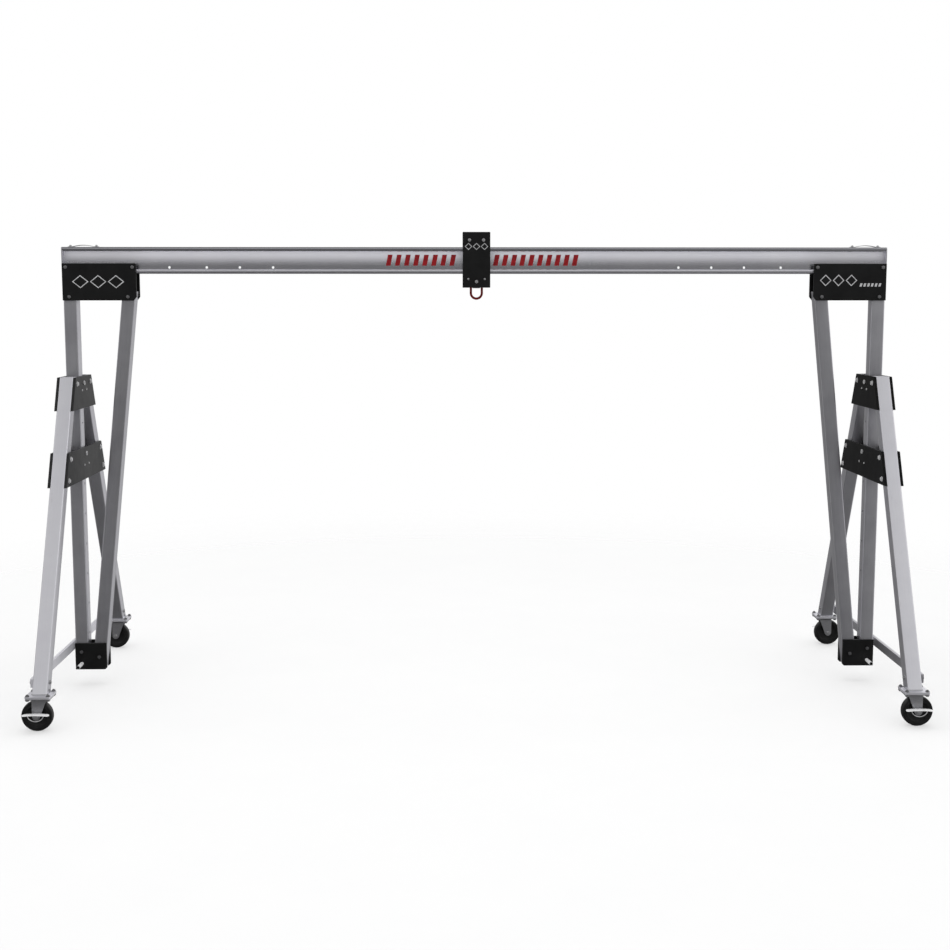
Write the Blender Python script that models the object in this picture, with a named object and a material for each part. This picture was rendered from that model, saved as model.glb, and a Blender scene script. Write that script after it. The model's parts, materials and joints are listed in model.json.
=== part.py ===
"""Portable gantry crane: an aluminium I-beam on two telescoping A-frames with swivel casters.

Frame: X runs along the beam, -Y is the front, +Z is up, and the origin is on the floor under the
beam's middle. All lengths are metres. Left is -X and right is +X.
"""

import math

import bmesh
import bpy
from mathutils import Vector

GAP = 0.0003

# Beam and its ends
BEAM_LENGTH = 4.572
BEAM_TOP = 2.479
BEAM_DEPTH = 0.146
BEAM_BOTTOM = BEAM_TOP - BEAM_DEPTH
FLANGE_WIDTH = 0.0745
FLANGE_THICKNESS = 0.013
LIP_WIDTH = 0.014
LIP_HEIGHT = 0.024
WEB_THICKNESS = 0.009
END_CAP = 0.007
END_CAP_INSET = 0.0002
END_CAP_CORNER = 0.0098
BOLT_ROW_Z = BEAM_BOTTOM + 0.035
SPARE_HOLE_X = (1.128, 1.312, 1.495, 1.701)
SPARE_HOLE_RADIUS = 0.007
END_BOLT_BORE = 0.0068
END_BOLT_SHANK = 0.006
PLATE_BOLT_HEAD = 0.0105
BOLT_HEAD_HEIGHT = 0.0078
BOLT_HEAD_SINK = 0.002
END_NUT_HEIGHT = 0.0095
CLAMP_PLATE = 0.0127
END_PLATE_OUTER_X = 2.283
END_PLATE_INNER_X = 1.877
END_PLATE_TOP = 2.389
END_PLATE_BOTTOM = 2.186
END_PLATE_CORNER = 0.020
END_BOLT_LOW_Z = 2.206

# Upright tubes, braces and feet of the lifted half
POST_X = 2.2455
POST_SIDE = 0.0745
POST_BOTTOM = 0.106
BRACE_TOP = 2.235
BRACE_TOP_X = 1.9201
BRACE_SLOPE = 0.1094
TUBE_WALL = 0.005
TUBE_CORNER = 0.008
HEIGHT_HOLE_RADIUS = 0.0065
HEIGHT_HOLE_LOW_Z = 0.3050
HEIGHT_HOLE_PITCH = 0.1715
HEIGHT_HOLES = 8
FOOT_PLATE_OUTER_X = 2.282
FOOT_PLATE_INNER_X = 2.105
FOOT_PLATE_TOP = 0.252
FOOT_PLATE_BOTTOM = 0.100
FOOT_PLATE_CORNER = 0.010
POST_FOOT_BOLT_Z = 0.2025
BRACE_FOOT_BOLT_Z = 0.173
LIFTING_BAR_Z = 0.134
LIFTING_BAR_RADIUS = 0.010
LIFTING_BAR_REACH = 0.141
LIFTING_BAR_BEVEL = 0.0015

# Carry handles on the beam
HANDLE_X = 2.171
HANDLE_HALF = 0.086
HANDLE_BOLT = 0.0715
HANDLE_WIDTH = 0.026
HANDLE_ARCH_HALF = 0.062
HANDLE_RISE = 0.0085
STRAP = 0.003

# A-frames
LEG_SIDE = 0.0765
LEG_SLOPE = 0.4662
LEG_APEX_Y = 0.9521
LEG_TOP = 1.7675
LEG_FOOT_Z = 0.192
FOOT_SQUARE = 0.130
FOOT_THICKNESS = 0.012
CASTER_Y = 0.8785
CASTER_PLATE_THICKNESS = 0.0055
CASTER_BOLT = 0.0525
GUIDE_THICKNESS = 0.0127
UPPER_GUIDE = (1.5890, 1.7675)
LOWER_GUIDE = (1.1920, 1.3705)
UPPER_LOCK_Z = 1.729
LOWER_LOCK_Z = 1.3340
UPPER_LEG_BOLTS = (1.731,)
LOWER_LEG_BOLTS = (1.3355, 1.2245)
GUIDE_ROD_Y = 0.0475
GUIDE_ROD_RADIUS = 0.0092
GUIDE_ROD_DROP = 0.038
LOWER_ROD_DROP = 0.0605
LOCK_BORE = 0.008
BUSHING_RADIUS = 0.013
BUSHING_HEIGHT = 0.006
PIN_COLLAR = 0.028
LEG_BOLT_HEAD = 0.011
LEG_BOLT_HEIGHT = 0.009
SCREW_HEAD = 0.0055
SCREW_HEIGHT = 0.004
TIE_Z = 0.242
TIE_HEIGHT = 0.048
TIE_THICKNESS = 0.016
TIE_HALF = 0.862

# Casters
WHEEL_RADIUS = 0.080
WHEEL_HALF = 0.023
HUB_HALF = 0.027
AXLE_RADIUS = 0.006
CASTER_TRAIL = 0.018
FORK_INNER = 0.0278
FORK_PLATE = 0.005
CROWN_BOTTOM = 0.1625
CROWN_TOP = 0.1692
FORK_CROWN_HALF = 0.038
AXLE_HEAD = 0.010
AXLE_HEAD_HEIGHT = 0.008
PEDAL_X = 0.010
PEDAL_OFFSET = 0.0085
PEDAL_Z = 0.097
PEDAL_LUG = 0.0165
PEDAL_LUG_RADIUS = 0.007
PEDAL_ARM = 0.0115
PEDAL_EAR = 0.004
PEDAL_ROD = 0.003
PEDAL_ROD_HALF = 0.022
PEDAL_HALF = 0.0685
PEDAL_CROWN = 0.0075
PEDAL_NEAR = 0.012
PEDAL_FAR = 0.040
PEDAL_TILT = 0.003
TOE_LOOP_HALF = 0.041
TOE_LOOP_DROP = 0.034

# Trolley
TROLLEY_WIDTH = 0.1524
TROLLEY_BOTTOM = 2.257
TROLLEY_TOP = 2.5615
TROLLEY_PLATE = 0.010
TROLLEY_INNER_Y = 0.0405
ROLLER_RADIUS = 0.0375
ROLLER_X = 0.03875
ROLLER_HALF = 0.0385
ROLLER_Z = BEAM_TOP + GAP + ROLLER_RADIUS
ROLLER_AXLE = 0.008
SPACER_X = 0.0455
SPACER_Z = 2.3035
SPACER_SHANK = 0.005
SPACER_SLEEVE = 0.008
ROLLER_BOLT_HEAD = 0.010
SPACER_BOLT_HEAD = 0.007
LOAD_PIN_HEAD = 0.0105
RUNNING_GAP = 0.0002
LOAD_PIN_Z = 2.289
LOAD_PIN_RADIUS = 0.008
BLOCK_HALF_WIDTH = 0.0225
BLOCK_HALF_DEPTH = 0.034
BLOCK_LOW = 2.2535
BLOCK_HIGH = 2.3065
SHACKLE_PIN_Z = 2.266
SHACKLE_PIN_RADIUS = 0.0055
SHACKLE_BAR = 0.0065
SHACKLE_BEND = 0.0305
SHACKLE_DROP = 0.039
SHACKLE_EAR = 0.0105
SHACKLE_PIN_HEAD = 0.008

SIDES = (("left", -1), ("right", 1))
FACES = (("front", -1), ("rear", 1))


# ---------------------------------------------------------------- shape tools


def clear_scene():
    for old in list(bpy.data.objects):
        bpy.data.objects.remove(old, do_unlink=True)


def make_material(name, colour, metallic, roughness):
    material = bpy.data.materials.new(name)
    material.use_nodes = True
    shader = material.node_tree.nodes["Principled BSDF"]
    shader.inputs["Base Color"].default_value = (*colour, 1.0)
    shader.inputs["Metallic"].default_value = metallic
    shader.inputs["Roughness"].default_value = roughness
    material.diffuse_color = (*colour, 1.0)
    return material


def place(axis, along, a, b):
    """A point from its distance along an axis and its two coordinates across it."""
    if axis == "X":
        return Vector((along, a, b))
    if axis == "Y":
        return Vector((a, along, b))
    return Vector((a, b, along))


def circle(radius, count, centre=(0.0, 0.0), turn=0.0):
    points = []
    for index in range(count):
        angle = 2 * math.pi * (index + turn) / count
        points.append((centre[0] + radius * math.cos(angle), centre[1] + radius * math.sin(angle)))
    return points


def arc(centre, radius, start, end, steps):
    points = []
    for index in range(steps + 1):
        angle = math.radians(start + (end - start) * index / steps)
        points.append((centre[0] + radius * math.cos(angle), centre[1] + radius * math.sin(angle)))
    return points


def rounded_rectangle(width, depth, radius, steps=2):
    points = []
    for quarter, (u, v) in enumerate(((1, 1), (-1, 1), (-1, -1), (1, -1))):
        centre = (u * (width / 2 - radius), v * (depth / 2 - radius))
        points += arc(centre, radius, quarter * 90, quarter * 90 + 90, steps)
    return points


def skin(bm, rings, loop=False):
    """Quads between neighbouring rings, with flat caps unless the rings close into a loop."""
    made = [[bm.verts.new(point) for point in ring] for ring in rings]
    pairs = list(zip(made, made[1:]))
    if loop:
        pairs.append((made[-1], made[0]))
    for low, high in pairs:
        count = len(low)
        for index in range(count):
            after = (index + 1) % count
            bm.faces.new((low[index], low[after], high[after], high[index]))
    if not loop:
        bm.faces.new(made[0])
        bm.faces.new(made[-1])


def add_prism(bm, axis, outline, low, high):
    skin(bm, [[place(axis, along, a, b) for a, b in outline] for along in (low, high)])


def add_turned(bm, axis, centre, stations, count, turn=0.0):
    """A stepped round piece: stations hold (distance along the axis, radius)."""
    rings = []
    for along, radius in stations:
        rings.append([place(axis, along, a, b) for a, b in circle(radius, count, centre, turn)])
    skin(bm, rings)


def add_ring(bm, axis, centre, profile, count):
    """A turned piece with a bore: the profile is a closed loop of (distance along, radius)."""
    rings = []
    for along, radius in profile:
        rings.append([place(axis, along, a, b) for a, b in circle(radius, count, centre)])
    skin(bm, rings, loop=True)


def add_sweep(bm, path, radius, count):
    """A round bar along a path that lies in one plane of constant Y."""
    rings = []
    for index, point in enumerate(path):
        before = path[max(index - 1, 0)]
        after = path[min(index + 1, len(path) - 1)]
        along = (after - before).normalized()
        across = along.cross(Vector((0, 1, 0)))
        ring = []
        for a, b in circle(radius, count, turn=0.5):
            ring.append(point + across * a + Vector((0, 1, 0)) * b)
        rings.append(ring)
    skin(bm, rings)


def add_tube(bm, low, high, size, wall, corner):
    """A square tube with level cut ends; its two end centres may be offset, as on a raked leg."""
    outside = rounded_rectangle(size[0], size[1], corner)
    inside = rounded_rectangle(size[0] - 2 * wall[0], size[1] - 2 * wall[1], corner - wall[0] + 0.001)
    rings = []
    for outline, ends in ((outside, (low, high)), (inside, (high, low))):
        for end in ends:
            rings.append([Vector(end) + Vector((u, v, 0)) for u, v in outline])
    skin(bm, rings, loop=True)


def add_heads(bm, axis, spots, start, end, radius):
    """Six-sided bolt heads or nuts on a plate, each set a little into it."""
    for spot in spots:
        add_turned(bm, axis, spot, ((start, radius), (end, radius)), 6, 0.5)


def add_bore(bm, axis, spot, middle, reach, radius, count):
    """A plain round rod that reaches equally far to both sides of a middle plane."""
    add_turned(bm, axis, spot, ((middle - reach, radius), (middle + reach, radius)), count)


def finish_mesh(bm, name):
    bmesh.ops.recalc_face_normals(bm, faces=bm.faces[:])
    mesh = bpy.data.meshes.new(name)
    bm.to_mesh(mesh)
    bm.free()
    mesh.shade_smooth()
    mesh.set_sharp_from_angle(angle=math.radians(32))
    return mesh


def make_part(name, bm, material, location=(0, 0, 0), parent=None):
    """One sub-part. Its mesh is built around the location, which is its joint or its foot."""
    mesh = finish_mesh(bm, name)
    mesh.materials.append(material)
    part = bpy.data.objects.new(name, mesh)
    part.location = location
    part.parent = parent
    bpy.context.scene.collection.objects.link(part)
    return part


def shape_with(part, operation, bm):
    """Joins a hidden helper shape to a part, or cuts it away. The helper shares the part's origin."""
    name = f"{part.name}_{operation.lower()}_{len(part.modifiers)}"
    helper = bpy.data.objects.new(name, finish_mesh(bm, name))
    helper.location = part.location
    helper.parent = part.parent
    helper.hide_render = True
    helper.display_type = "WIRE"
    bpy.context.scene.collection.objects.link(helper)
    modifier = part.modifiers.new(operation.title(), "BOOLEAN")
    modifier.operation = operation
    modifier.solver = "EXACT"
    modifier.object = helper


def make_mount(name, location):
    mount = bpy.data.objects.new(name, None)
    mount.location = location
    bpy.context.scene.collection.objects.link(mount)
    return mount


# ---------------------------------------------------------------- lifted half


def brace_x(height):
    """Middle of the knee brace at a height, on the right-hand side."""
    return BRACE_TOP_X + BRACE_SLOPE * (BRACE_TOP - height)


def beam_outline():
    """I-section with full round lips along the flange edges, as (Y, Z)."""
    half = FLANGE_WIDTH / 2
    web = WEB_THICKNESS / 2
    mid = (BEAM_TOP + BEAM_BOTTOM) / 2
    reach = BEAM_DEPTH / 2
    lip_round = LIP_WIDTH / 2
    top_round = 0.010
    quarter = [(web, 0.0)]
    quarter += arc((web + 0.006, reach - FLANGE_THICKNESS - 0.006), 0.006, 180, 90, 2)
    quarter.append((half - LIP_WIDTH - 0.002, reach - FLANGE_THICKNESS))
    quarter += arc((half - lip_round, reach - LIP_HEIGHT + lip_round), lip_round, 180, 360, 6)
    quarter += arc((half - top_round, reach - top_round), top_round, 0, 90, 3)
    outline = [(y, mid + z) for y, z in quarter]
    outline += [(-y, mid + z) for y, z in reversed(quarter)]
    outline += [(-y, mid - z) for y, z in quarter[1:]]
    outline += [(y, mid - z) for y, z in reversed(quarter[1:])]
    return outline


def make_beam(material):
    bm = bmesh.new()
    half = BEAM_LENGTH / 2
    add_prism(bm, "X", beam_outline(), -half + END_CAP / 2, half - END_CAP / 2)
    beam = make_part("beam", bm, material)
    caps = bmesh.new()
    middle = (BEAM_TOP + BEAM_BOTTOM) / 2
    width = FLANGE_WIDTH - 2 * END_CAP_INSET
    depth = BEAM_DEPTH - 2 * END_CAP_INSET
    outline = [(y, middle + z) for y, z in rounded_rectangle(width, depth, END_CAP_CORNER, 3)]
    for _, side in SIDES:
        add_prism(caps, "X", outline, side * (half - END_CAP), side * half)
    shape_with(beam, "UNION", caps)
    cutter = bmesh.new()
    for _, side in SIDES:
        for x in SPARE_HOLE_X:
            spot = (side * x, BOLT_ROW_Z)
            add_bore(cutter, "Y", spot, 0.0, WEB_THICKNESS, SPARE_HOLE_RADIUS, 8)
        for x in end_bolts_x():
            spot = (side * x, BOLT_ROW_Z)
            add_bore(cutter, "Y", spot, 0.0, WEB_THICKNESS, END_BOLT_BORE, 8)
    shape_with(beam, "DIFFERENCE", cutter)


def end_bolts_x():
    return (END_PLATE_OUTER_X - 0.0215, END_PLATE_INNER_X + 0.0185)


def end_plate_outline(side):
    corner = END_PLATE_CORNER
    outline = [
        (END_PLATE_OUTER_X, END_PLATE_BOTTOM),
        (END_PLATE_OUTER_X, END_PLATE_TOP),
        (END_PLATE_INNER_X, END_PLATE_TOP),
        (END_PLATE_INNER_X, END_PLATE_BOTTOM + corner),
        (END_PLATE_INNER_X + corner * 0.8, END_PLATE_BOTTOM),
    ]
    return [(side * x, z) for x, z in outline]


def make_end_plates(side_name, side, material):
    """The front plate carries the two long bolts through the web; both carry the lower bolts' ends."""
    inner = FLANGE_WIDTH / 2 + GAP
    outer = inner + CLAMP_PLATE
    long_spots = [(side * x, BOLT_ROW_Z) for x in end_bolts_x()]
    low_spots = [(side * POST_X, END_BOLT_LOW_Z), (side * brace_x(END_BOLT_LOW_Z), END_BOLT_LOW_Z)]
    for face_name, face in FACES:
        bm = bmesh.new()
        add_prism(bm, "Y", end_plate_outline(side), face * inner, face * outer)
        plate = make_part(f"end_plate_{side_name}_{face_name}", bm, material)
        heads = bmesh.new()
        low_end = face * (outer + BOLT_HEAD_HEIGHT)
        add_heads(heads, "Y", low_spots, face * (outer - BOLT_HEAD_SINK), low_end, PLATE_BOLT_HEAD)
        if face < 0:
            nut_face = outer + 0.0005
            stations = (
                (-outer - BOLT_HEAD_HEIGHT, PLATE_BOLT_HEAD),
                (-inner - 0.004, PLATE_BOLT_HEAD),
                (-inner - 0.004, END_BOLT_SHANK),
                (nut_face, END_BOLT_SHANK),
                (nut_face, PLATE_BOLT_HEAD),
                (nut_face + END_NUT_HEIGHT, PLATE_BOLT_HEAD),
            )
            for spot in long_spots:
                add_turned(heads, "Y", spot, stations, 6, 0.5)
        else:
            cutter = bmesh.new()
            for spot in long_spots:
                add_bore(cutter, "Y", spot, (inner + outer) / 2, CLAMP_PLATE, END_BOLT_BORE, 8)
            shape_with(plate, "DIFFERENCE", cutter)
        shape_with(plate, "UNION", heads)


def make_post(side_name, side, material):
    """Square post; its row of height holes goes through both side walls."""
    bm = bmesh.new()
    top = BEAM_BOTTOM - GAP
    size = (POST_SIDE, POST_SIDE)
    add_tube(bm, (0, 0, 0), (0, 0, top - POST_BOTTOM), size, (TUBE_WALL, TUBE_WALL), TUBE_CORNER)
    post = make_part(f"post_{side_name}", bm, material, (side * POST_X, 0, POST_BOTTOM))
    cutter = bmesh.new()
    reach = POST_SIDE
    for index in range(HEIGHT_HOLES):
        height = HEIGHT_HOLE_LOW_Z + index * HEIGHT_HOLE_PITCH - POST_BOTTOM
        add_bore(cutter, "X", (0, height), 0.0, reach, HEIGHT_HOLE_RADIUS, 8)
    add_bore(cutter, "Y", (0, LIFTING_BAR_Z - POST_BOTTOM), 0.0, reach, LIFTING_BAR_RADIUS + GAP, 12)
    shape_with(post, "DIFFERENCE", cutter)


def make_brace(side_name, side, material):
    """Raked square tube; its top is hidden between the end plates."""
    bm = bmesh.new()
    slant = math.cos(math.atan(BRACE_SLOPE))
    foot_x = side * brace_x(POST_BOTTOM)
    shift = side * BRACE_TOP_X - foot_x
    size = (POST_SIDE / slant, POST_SIDE)
    wall = (TUBE_WALL / slant, TUBE_WALL)
    add_tube(bm, (0, 0, 0), (shift, 0, BRACE_TOP - POST_BOTTOM), size, wall, TUBE_CORNER)
    make_part(f"knee_brace_{side_name}", bm, material, (foot_x, 0, POST_BOTTOM))


def make_foot_plates(side_name, side, material):
    inner = FLANGE_WIDTH / 2 + GAP
    outer = inner + CLAMP_PLATE
    corner = FOOT_PLATE_CORNER
    outline = [
        (FOOT_PLATE_OUTER_X, FOOT_PLATE_BOTTOM),
        (FOOT_PLATE_OUTER_X, FOOT_PLATE_TOP),
        (FOOT_PLATE_INNER_X, FOOT_PLATE_TOP),
        (FOOT_PLATE_INNER_X, FOOT_PLATE_BOTTOM + corner),
        (FOOT_PLATE_INNER_X + corner, FOOT_PLATE_BOTTOM),
    ]
    outline = [(side * x, z) for x, z in outline]
    spots = [(side * POST_X, POST_FOOT_BOLT_Z), (side * brace_x(BRACE_FOOT_BOLT_Z), BRACE_FOOT_BOLT_Z)]
    for face_name, face in FACES:
        bm = bmesh.new()
        add_prism(bm, "Y", outline, face * inner, face * outer)
        plate = make_part(f"foot_plate_{side_name}_{face_name}", bm, material)
        bore = LIFTING_BAR_RADIUS + GAP
        cutter = bmesh.new()
        middle = face * (inner + outer) / 2
        add_bore(cutter, "Y", (side * POST_X, LIFTING_BAR_Z), middle, CLAMP_PLATE, bore, 12)
        shape_with(plate, "DIFFERENCE", cutter)
        heads = bmesh.new()
        end = face * (outer + BOLT_HEAD_HEIGHT)
        add_heads(heads, "Y", spots, face * (outer - BOLT_HEAD_SINK), end, PLATE_BOLT_HEAD)
        shape_with(plate, "UNION", heads)


def make_lifting_bar(side_name, side, material):
    bm = bmesh.new()
    reach = LIFTING_BAR_REACH
    radius = LIFTING_BAR_RADIUS
    bevel = LIFTING_BAR_BEVEL
    stations = (
        (-reach, radius - bevel),
        (-reach + bevel, radius),
        (reach - bevel, radius),
        (reach, radius - bevel),
    )
    add_turned(bm, "Y", (0, 0), stations, 12)
    make_part(f"lifting_bar_{side_name}", bm, material, (side * POST_X, 0, LIFTING_BAR_Z))


def strap_curve(lift):
    """The carry strap's arched middle, as (X, Z) from one foot to the other."""
    points = []
    steps = 10
    for index in range(steps + 1):
        share = 2 * index / steps - 1
        rise = HANDLE_RISE * math.cos(math.pi / 2 * share)
        points.append((HANDLE_ARCH_HALF * share, lift + rise))
    return points


def make_handle(side_name, side, material):
    bm = bmesh.new()
    outline = [(-HANDLE_HALF, 0.0)] + strap_curve(0.0) + [(HANDLE_HALF, 0.0)]
    upper = [(HANDLE_HALF, STRAP)] + list(reversed(strap_curve(STRAP))) + [(-HANDLE_HALF, STRAP)]
    add_prism(bm, "Y", outline + upper, -HANDLE_WIDTH / 2, HANDLE_WIDTH / 2)
    location = (side * HANDLE_X, 0, BEAM_TOP + GAP)
    handle = make_part(f"carry_handle_{side_name}", bm, material, location)
    heads = bmesh.new()
    for x in (-HANDLE_BOLT, HANDLE_BOLT):
        stations = ((0.0015, 0.0085), (0.009, 0.0080), (0.012, 0.0045))
        add_turned(heads, "Z", (x, 0), stations, 8)
    shape_with(handle, "UNION", heads)


# ---------------------------------------------------------------- A-frames


def leg_y(height):
    """Distance of a leg's middle line from the post's plane at a height."""
    return LEG_APEX_Y - LEG_SLOPE * height


def leg_half_y():
    return LEG_SIDE / 2 * math.hypot(1, LEG_SLOPE)


def make_leg(side_name, side, face_name, face, material, parent):
    """Raked square leg welded to its level foot plate."""
    bm = bmesh.new()
    add_prism(bm, "Z", rounded_rectangle(FOOT_SQUARE, FOOT_SQUARE, 0.010), -FOOT_THICKNESS, 0)
    foot = (side * POST_X, face * CASTER_Y, LEG_FOOT_Z)
    leg = make_part(f"leg_{side_name}_{face_name}", bm, material, foot, parent)
    tube = bmesh.new()
    slant = math.cos(math.atan(LEG_SLOPE))
    wall = (TUBE_WALL, TUBE_WALL / slant)
    sink = 0.002
    low = (0, face * (leg_y(LEG_FOOT_Z - sink) - CASTER_Y), -sink)
    high = (0, face * (leg_y(LEG_TOP) - CASTER_Y), LEG_TOP - LEG_FOOT_Z)
    add_tube(tube, low, high, (LEG_SIDE, LEG_SIDE / slant), wall, TUBE_CORNER)
    shape_with(leg, "UNION", tube)
    heads = bmesh.new()
    spots = [(u * CASTER_BOLT, v * CASTER_BOLT) for u in (-1, 1) for v in (-1, 1)]
    add_heads(heads, "Z", spots, -0.002, 0.0075, 0.0095)
    tie_spot = [(face * (leg_y(TIE_Z) - CASTER_Y), TIE_Z - LEG_FOOT_Z)]
    inner = LEG_SIDE / 2
    add_heads(heads, "X", tie_spot, -side * (inner - 0.002), -side * (inner + 0.009), 0.010)
    shape_with(leg, "UNION", heads)


def guide_outline(low, high):
    """Trapezoid as (Y, Z), flush with the legs' outer faces."""
    outline = []
    for height, sign in ((low, 1), (high, 1), (high, -1), (low, -1)):
        outline.append((sign * (leg_y(height) + leg_half_y() - 0.001), height))
    return outline


def make_guides(side_name, side, level, material, parent):
    """Inner and outer guide plates. The inner one carries two round rods beside the post."""
    if level == "upper":
        span, lock_z, bolt_zs, drop = UPPER_GUIDE, UPPER_LOCK_Z, UPPER_LEG_BOLTS, GUIDE_ROD_DROP
    else:
        span, lock_z, bolt_zs, drop = LOWER_GUIDE, LOWER_LOCK_Z, LOWER_LEG_BOLTS, LOWER_ROD_DROP
    middle = side * POST_X
    rod_z = lock_z - drop
    leg_bolts = [(face * leg_y(z), z) for z in bolt_zs for _, face in FACES]
    screws = [(face * GUIDE_ROD_Y, rod_z) for _, face in FACES]
    near = LEG_SIDE / 2 + GAP
    far = near + GUIDE_THICKNESS
    for place_name, way in (("inner", -side), ("outer", side)):
        location = Vector((middle, 0, 0))
        bm = bmesh.new()
        add_prism(bm, "X", guide_outline(*span), way * near, way * far)
        name = f"guide_plate_{level}_{side_name}_{place_name}"
        plate = make_part(name, bm, material, location, parent)
        heads = bmesh.new()
        start = way * (far - BOLT_HEAD_SINK)
        add_heads(heads, "X", leg_bolts, start, way * (far + LEG_BOLT_HEIGHT), LEG_BOLT_HEAD)
        add_heads(heads, "X", screws, start, way * (far + SCREW_HEIGHT), SCREW_HEAD)
        holds_pin = level == "lower" and place_name == "outer"
        depth = PIN_COLLAR if holds_pin else BUSHING_HEIGHT
        collar = ((start, BUSHING_RADIUS), (way * (far + depth), BUSHING_RADIUS))
        add_turned(heads, "X", (0, lock_z), collar, 12)
        if place_name == "inner":
            rod_start = way * (near + 0.002)
            rod_end = -way * (near - 0.0002)
            for spot in screws:
                stations = ((rod_start, GUIDE_ROD_RADIUS), (rod_end, GUIDE_ROD_RADIUS))
                add_turned(heads, "X", spot, stations, 10)
        shape_with(plate, "UNION", heads)
        cutter = bmesh.new()
        bore_start = way * (near - 0.01)
        bore_end = way * (far + PIN_COLLAR + 0.01)
        add_turned(cutter, "X", (0, lock_z), ((bore_start, LOCK_BORE), (bore_end, LOCK_BORE)), 12)
        shape_with(plate, "DIFFERENCE", cutter)


def make_lock_pin(side_name, side, material, parent):
    """Spring pin in the lower outer guide plate, with a knob to pull it. Its origin is on its axis."""
    start = POST_SIDE / 2 + 0.0005
    collar_end = LEG_SIDE / 2 + GAP + GUIDE_THICKNESS + PIN_COLLAR
    shank = LOCK_BORE - GAP
    stations = (
        (side * start, shank - 0.001),
        (side * (start + 0.001), shank),
        (side * (collar_end + 0.0003), shank),
        (side * (collar_end + 0.0003), 0.013),
        (side * (collar_end + 0.004), 0.015),
        (side * (collar_end + 0.012), 0.015),
        (side * (collar_end + 0.016), 0.012),
    )
    bm = bmesh.new()
    add_turned(bm, "X", (0, 0), stations, 12)
    make_part(f"lock_pin_{side_name}", bm, material, (side * POST_X, 0, LOWER_LOCK_Z), parent)


def make_tie_bar(side_name, side, material, parent):
    near = LEG_SIDE / 2 + GAP
    bm = bmesh.new()
    half = TIE_HEIGHT / 2
    outline = ((-TIE_HALF, -half), (TIE_HALF, -half), (TIE_HALF, half), (-TIE_HALF, half))
    add_prism(bm, "X", outline, side * near, side * (near + TIE_THICKNESS))
    bar = make_part(f"tie_bar_{side_name}", bm, material, (side * POST_X, 0, TIE_Z), parent)
    heads = bmesh.new()
    far = near + TIE_THICKNESS
    spots = [(face * leg_y(TIE_Z), 0) for _, face in FACES]
    add_heads(heads, "X", spots, side * (far - 0.002), side * (far + 0.0075), 0.010)
    shape_with(bar, "UNION", heads)


# ---------------------------------------------------------------- casters


def make_caster_plate(tag, middle, material, parent):
    """Fixed half of the caster: plate with four nuts below it and the round race of the swivel."""
    top = LEG_FOOT_Z - FOOT_THICKNESS - GAP
    bottom = top - CASTER_PLATE_THICKNESS
    bm = bmesh.new()
    side = FOOT_SQUARE - 0.003
    add_prism(bm, "Z", rounded_rectangle(side, side, 0.010), bottom - top, 0)
    plate = make_part(f"caster_plate_{tag}", bm, material, (middle[0], middle[1], top), parent)
    low = bmesh.new()
    spots = [(u * CASTER_BOLT, v * CASTER_BOLT) for u in (-1, 1) for v in (-1, 1)]
    add_heads(low, "Z", spots, bottom - top - 0.007, bottom - top + 0.002, 0.0095)
    race_end = CROWN_TOP + GAP - top
    add_turned(low, "Z", (0, 0), ((race_end, 0.033), (bottom - top + 0.002, 0.033)), 12)
    shape_with(plate, "UNION", low)


def fork_outline(side):
    """One side plate as (X, Z) about the swivel axis: wide at the crown, round at the axle."""
    lower = arc((CASTER_TRAIL, WHEEL_RADIUS), 0.020, 200, 360, 6)
    outline = [(-FORK_CROWN_HALF, CROWN_TOP)] + lower + [(FORK_CROWN_HALF, CROWN_TOP)]
    return [(side * x, z) for x, z in outline]


def make_fork(tag, middle, side, face, material, parent):
    """Swivelling half: crown, two side plates, two lugs for the brake pedal and the axle bolt."""
    bm = bmesh.new()
    outside = FORK_INNER + FORK_PLATE
    crown = rounded_rectangle(2 * FORK_CROWN_HALF, 2 * outside, 0.006, 1)
    add_prism(bm, "Z", crown, CROWN_BOTTOM, CROWN_TOP)
    fork = make_part(f"fork_{tag}", bm, material, (middle[0], middle[1], 0), parent)
    plates = bmesh.new()
    for way in (-1, 1):
        near = way * FORK_INNER
        add_prism(plates, "Y", fork_outline(side), near, way * (FORK_INNER + FORK_PLATE))
    shape_with(fork, "UNION", plates)
    extras = bmesh.new()
    sink = 0.001
    stations = (
        (-outside - AXLE_HEAD_HEIGHT, AXLE_HEAD),
        (-outside + sink, AXLE_HEAD),
        (-outside + sink, AXLE_RADIUS),
        (outside - sink, AXLE_RADIUS),
        (outside - sink, AXLE_HEAD),
        (outside + AXLE_HEAD_HEIGHT, AXLE_HEAD),
    )
    add_turned(extras, "Y", (side * CASTER_TRAIL, WHEEL_RADIUS), stations, 10, 0.5)
    centre = pedal_pivot(side, face)
    near = face * (outside - sink)
    top = centre.z + PEDAL_LUG_RADIUS
    bottom = centre.z - PEDAL_LUG_RADIUS
    outline = [(near, top)] + lug_end(centre, face) + [(near, bottom)]
    for way in (-1, 1):
        middle_x = centre.x + way * PEDAL_LUG
        add_prism(extras, "X", outline, middle_x - PEDAL_EAR / 2, middle_x + PEDAL_EAR / 2)
    shape_with(fork, "UNION", extras)
    bore = bmesh.new()
    add_bore(bore, "X", (centre.y, centre.z), centre.x, 2 * PEDAL_LUG, PEDAL_ROD + GAP, 8)
    shape_with(fork, "DIFFERENCE", bore)


def lug_end(centre, face):
    """The lug's round end about the pedal's hinge line, as (Y, Z)."""
    points = arc((0, centre.z), PEDAL_LUG_RADIUS, 90, -90, 3)
    return [(centre.y + face * y, z) for y, z in points]


def pedal_pivot(side, face):
    """Middle of the brake pedal's hinge line, which runs along X, from the swivel axis at the floor."""
    return Vector((side * PEDAL_X, face * (FORK_INNER + FORK_PLATE + PEDAL_OFFSET), PEDAL_Z))


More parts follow.
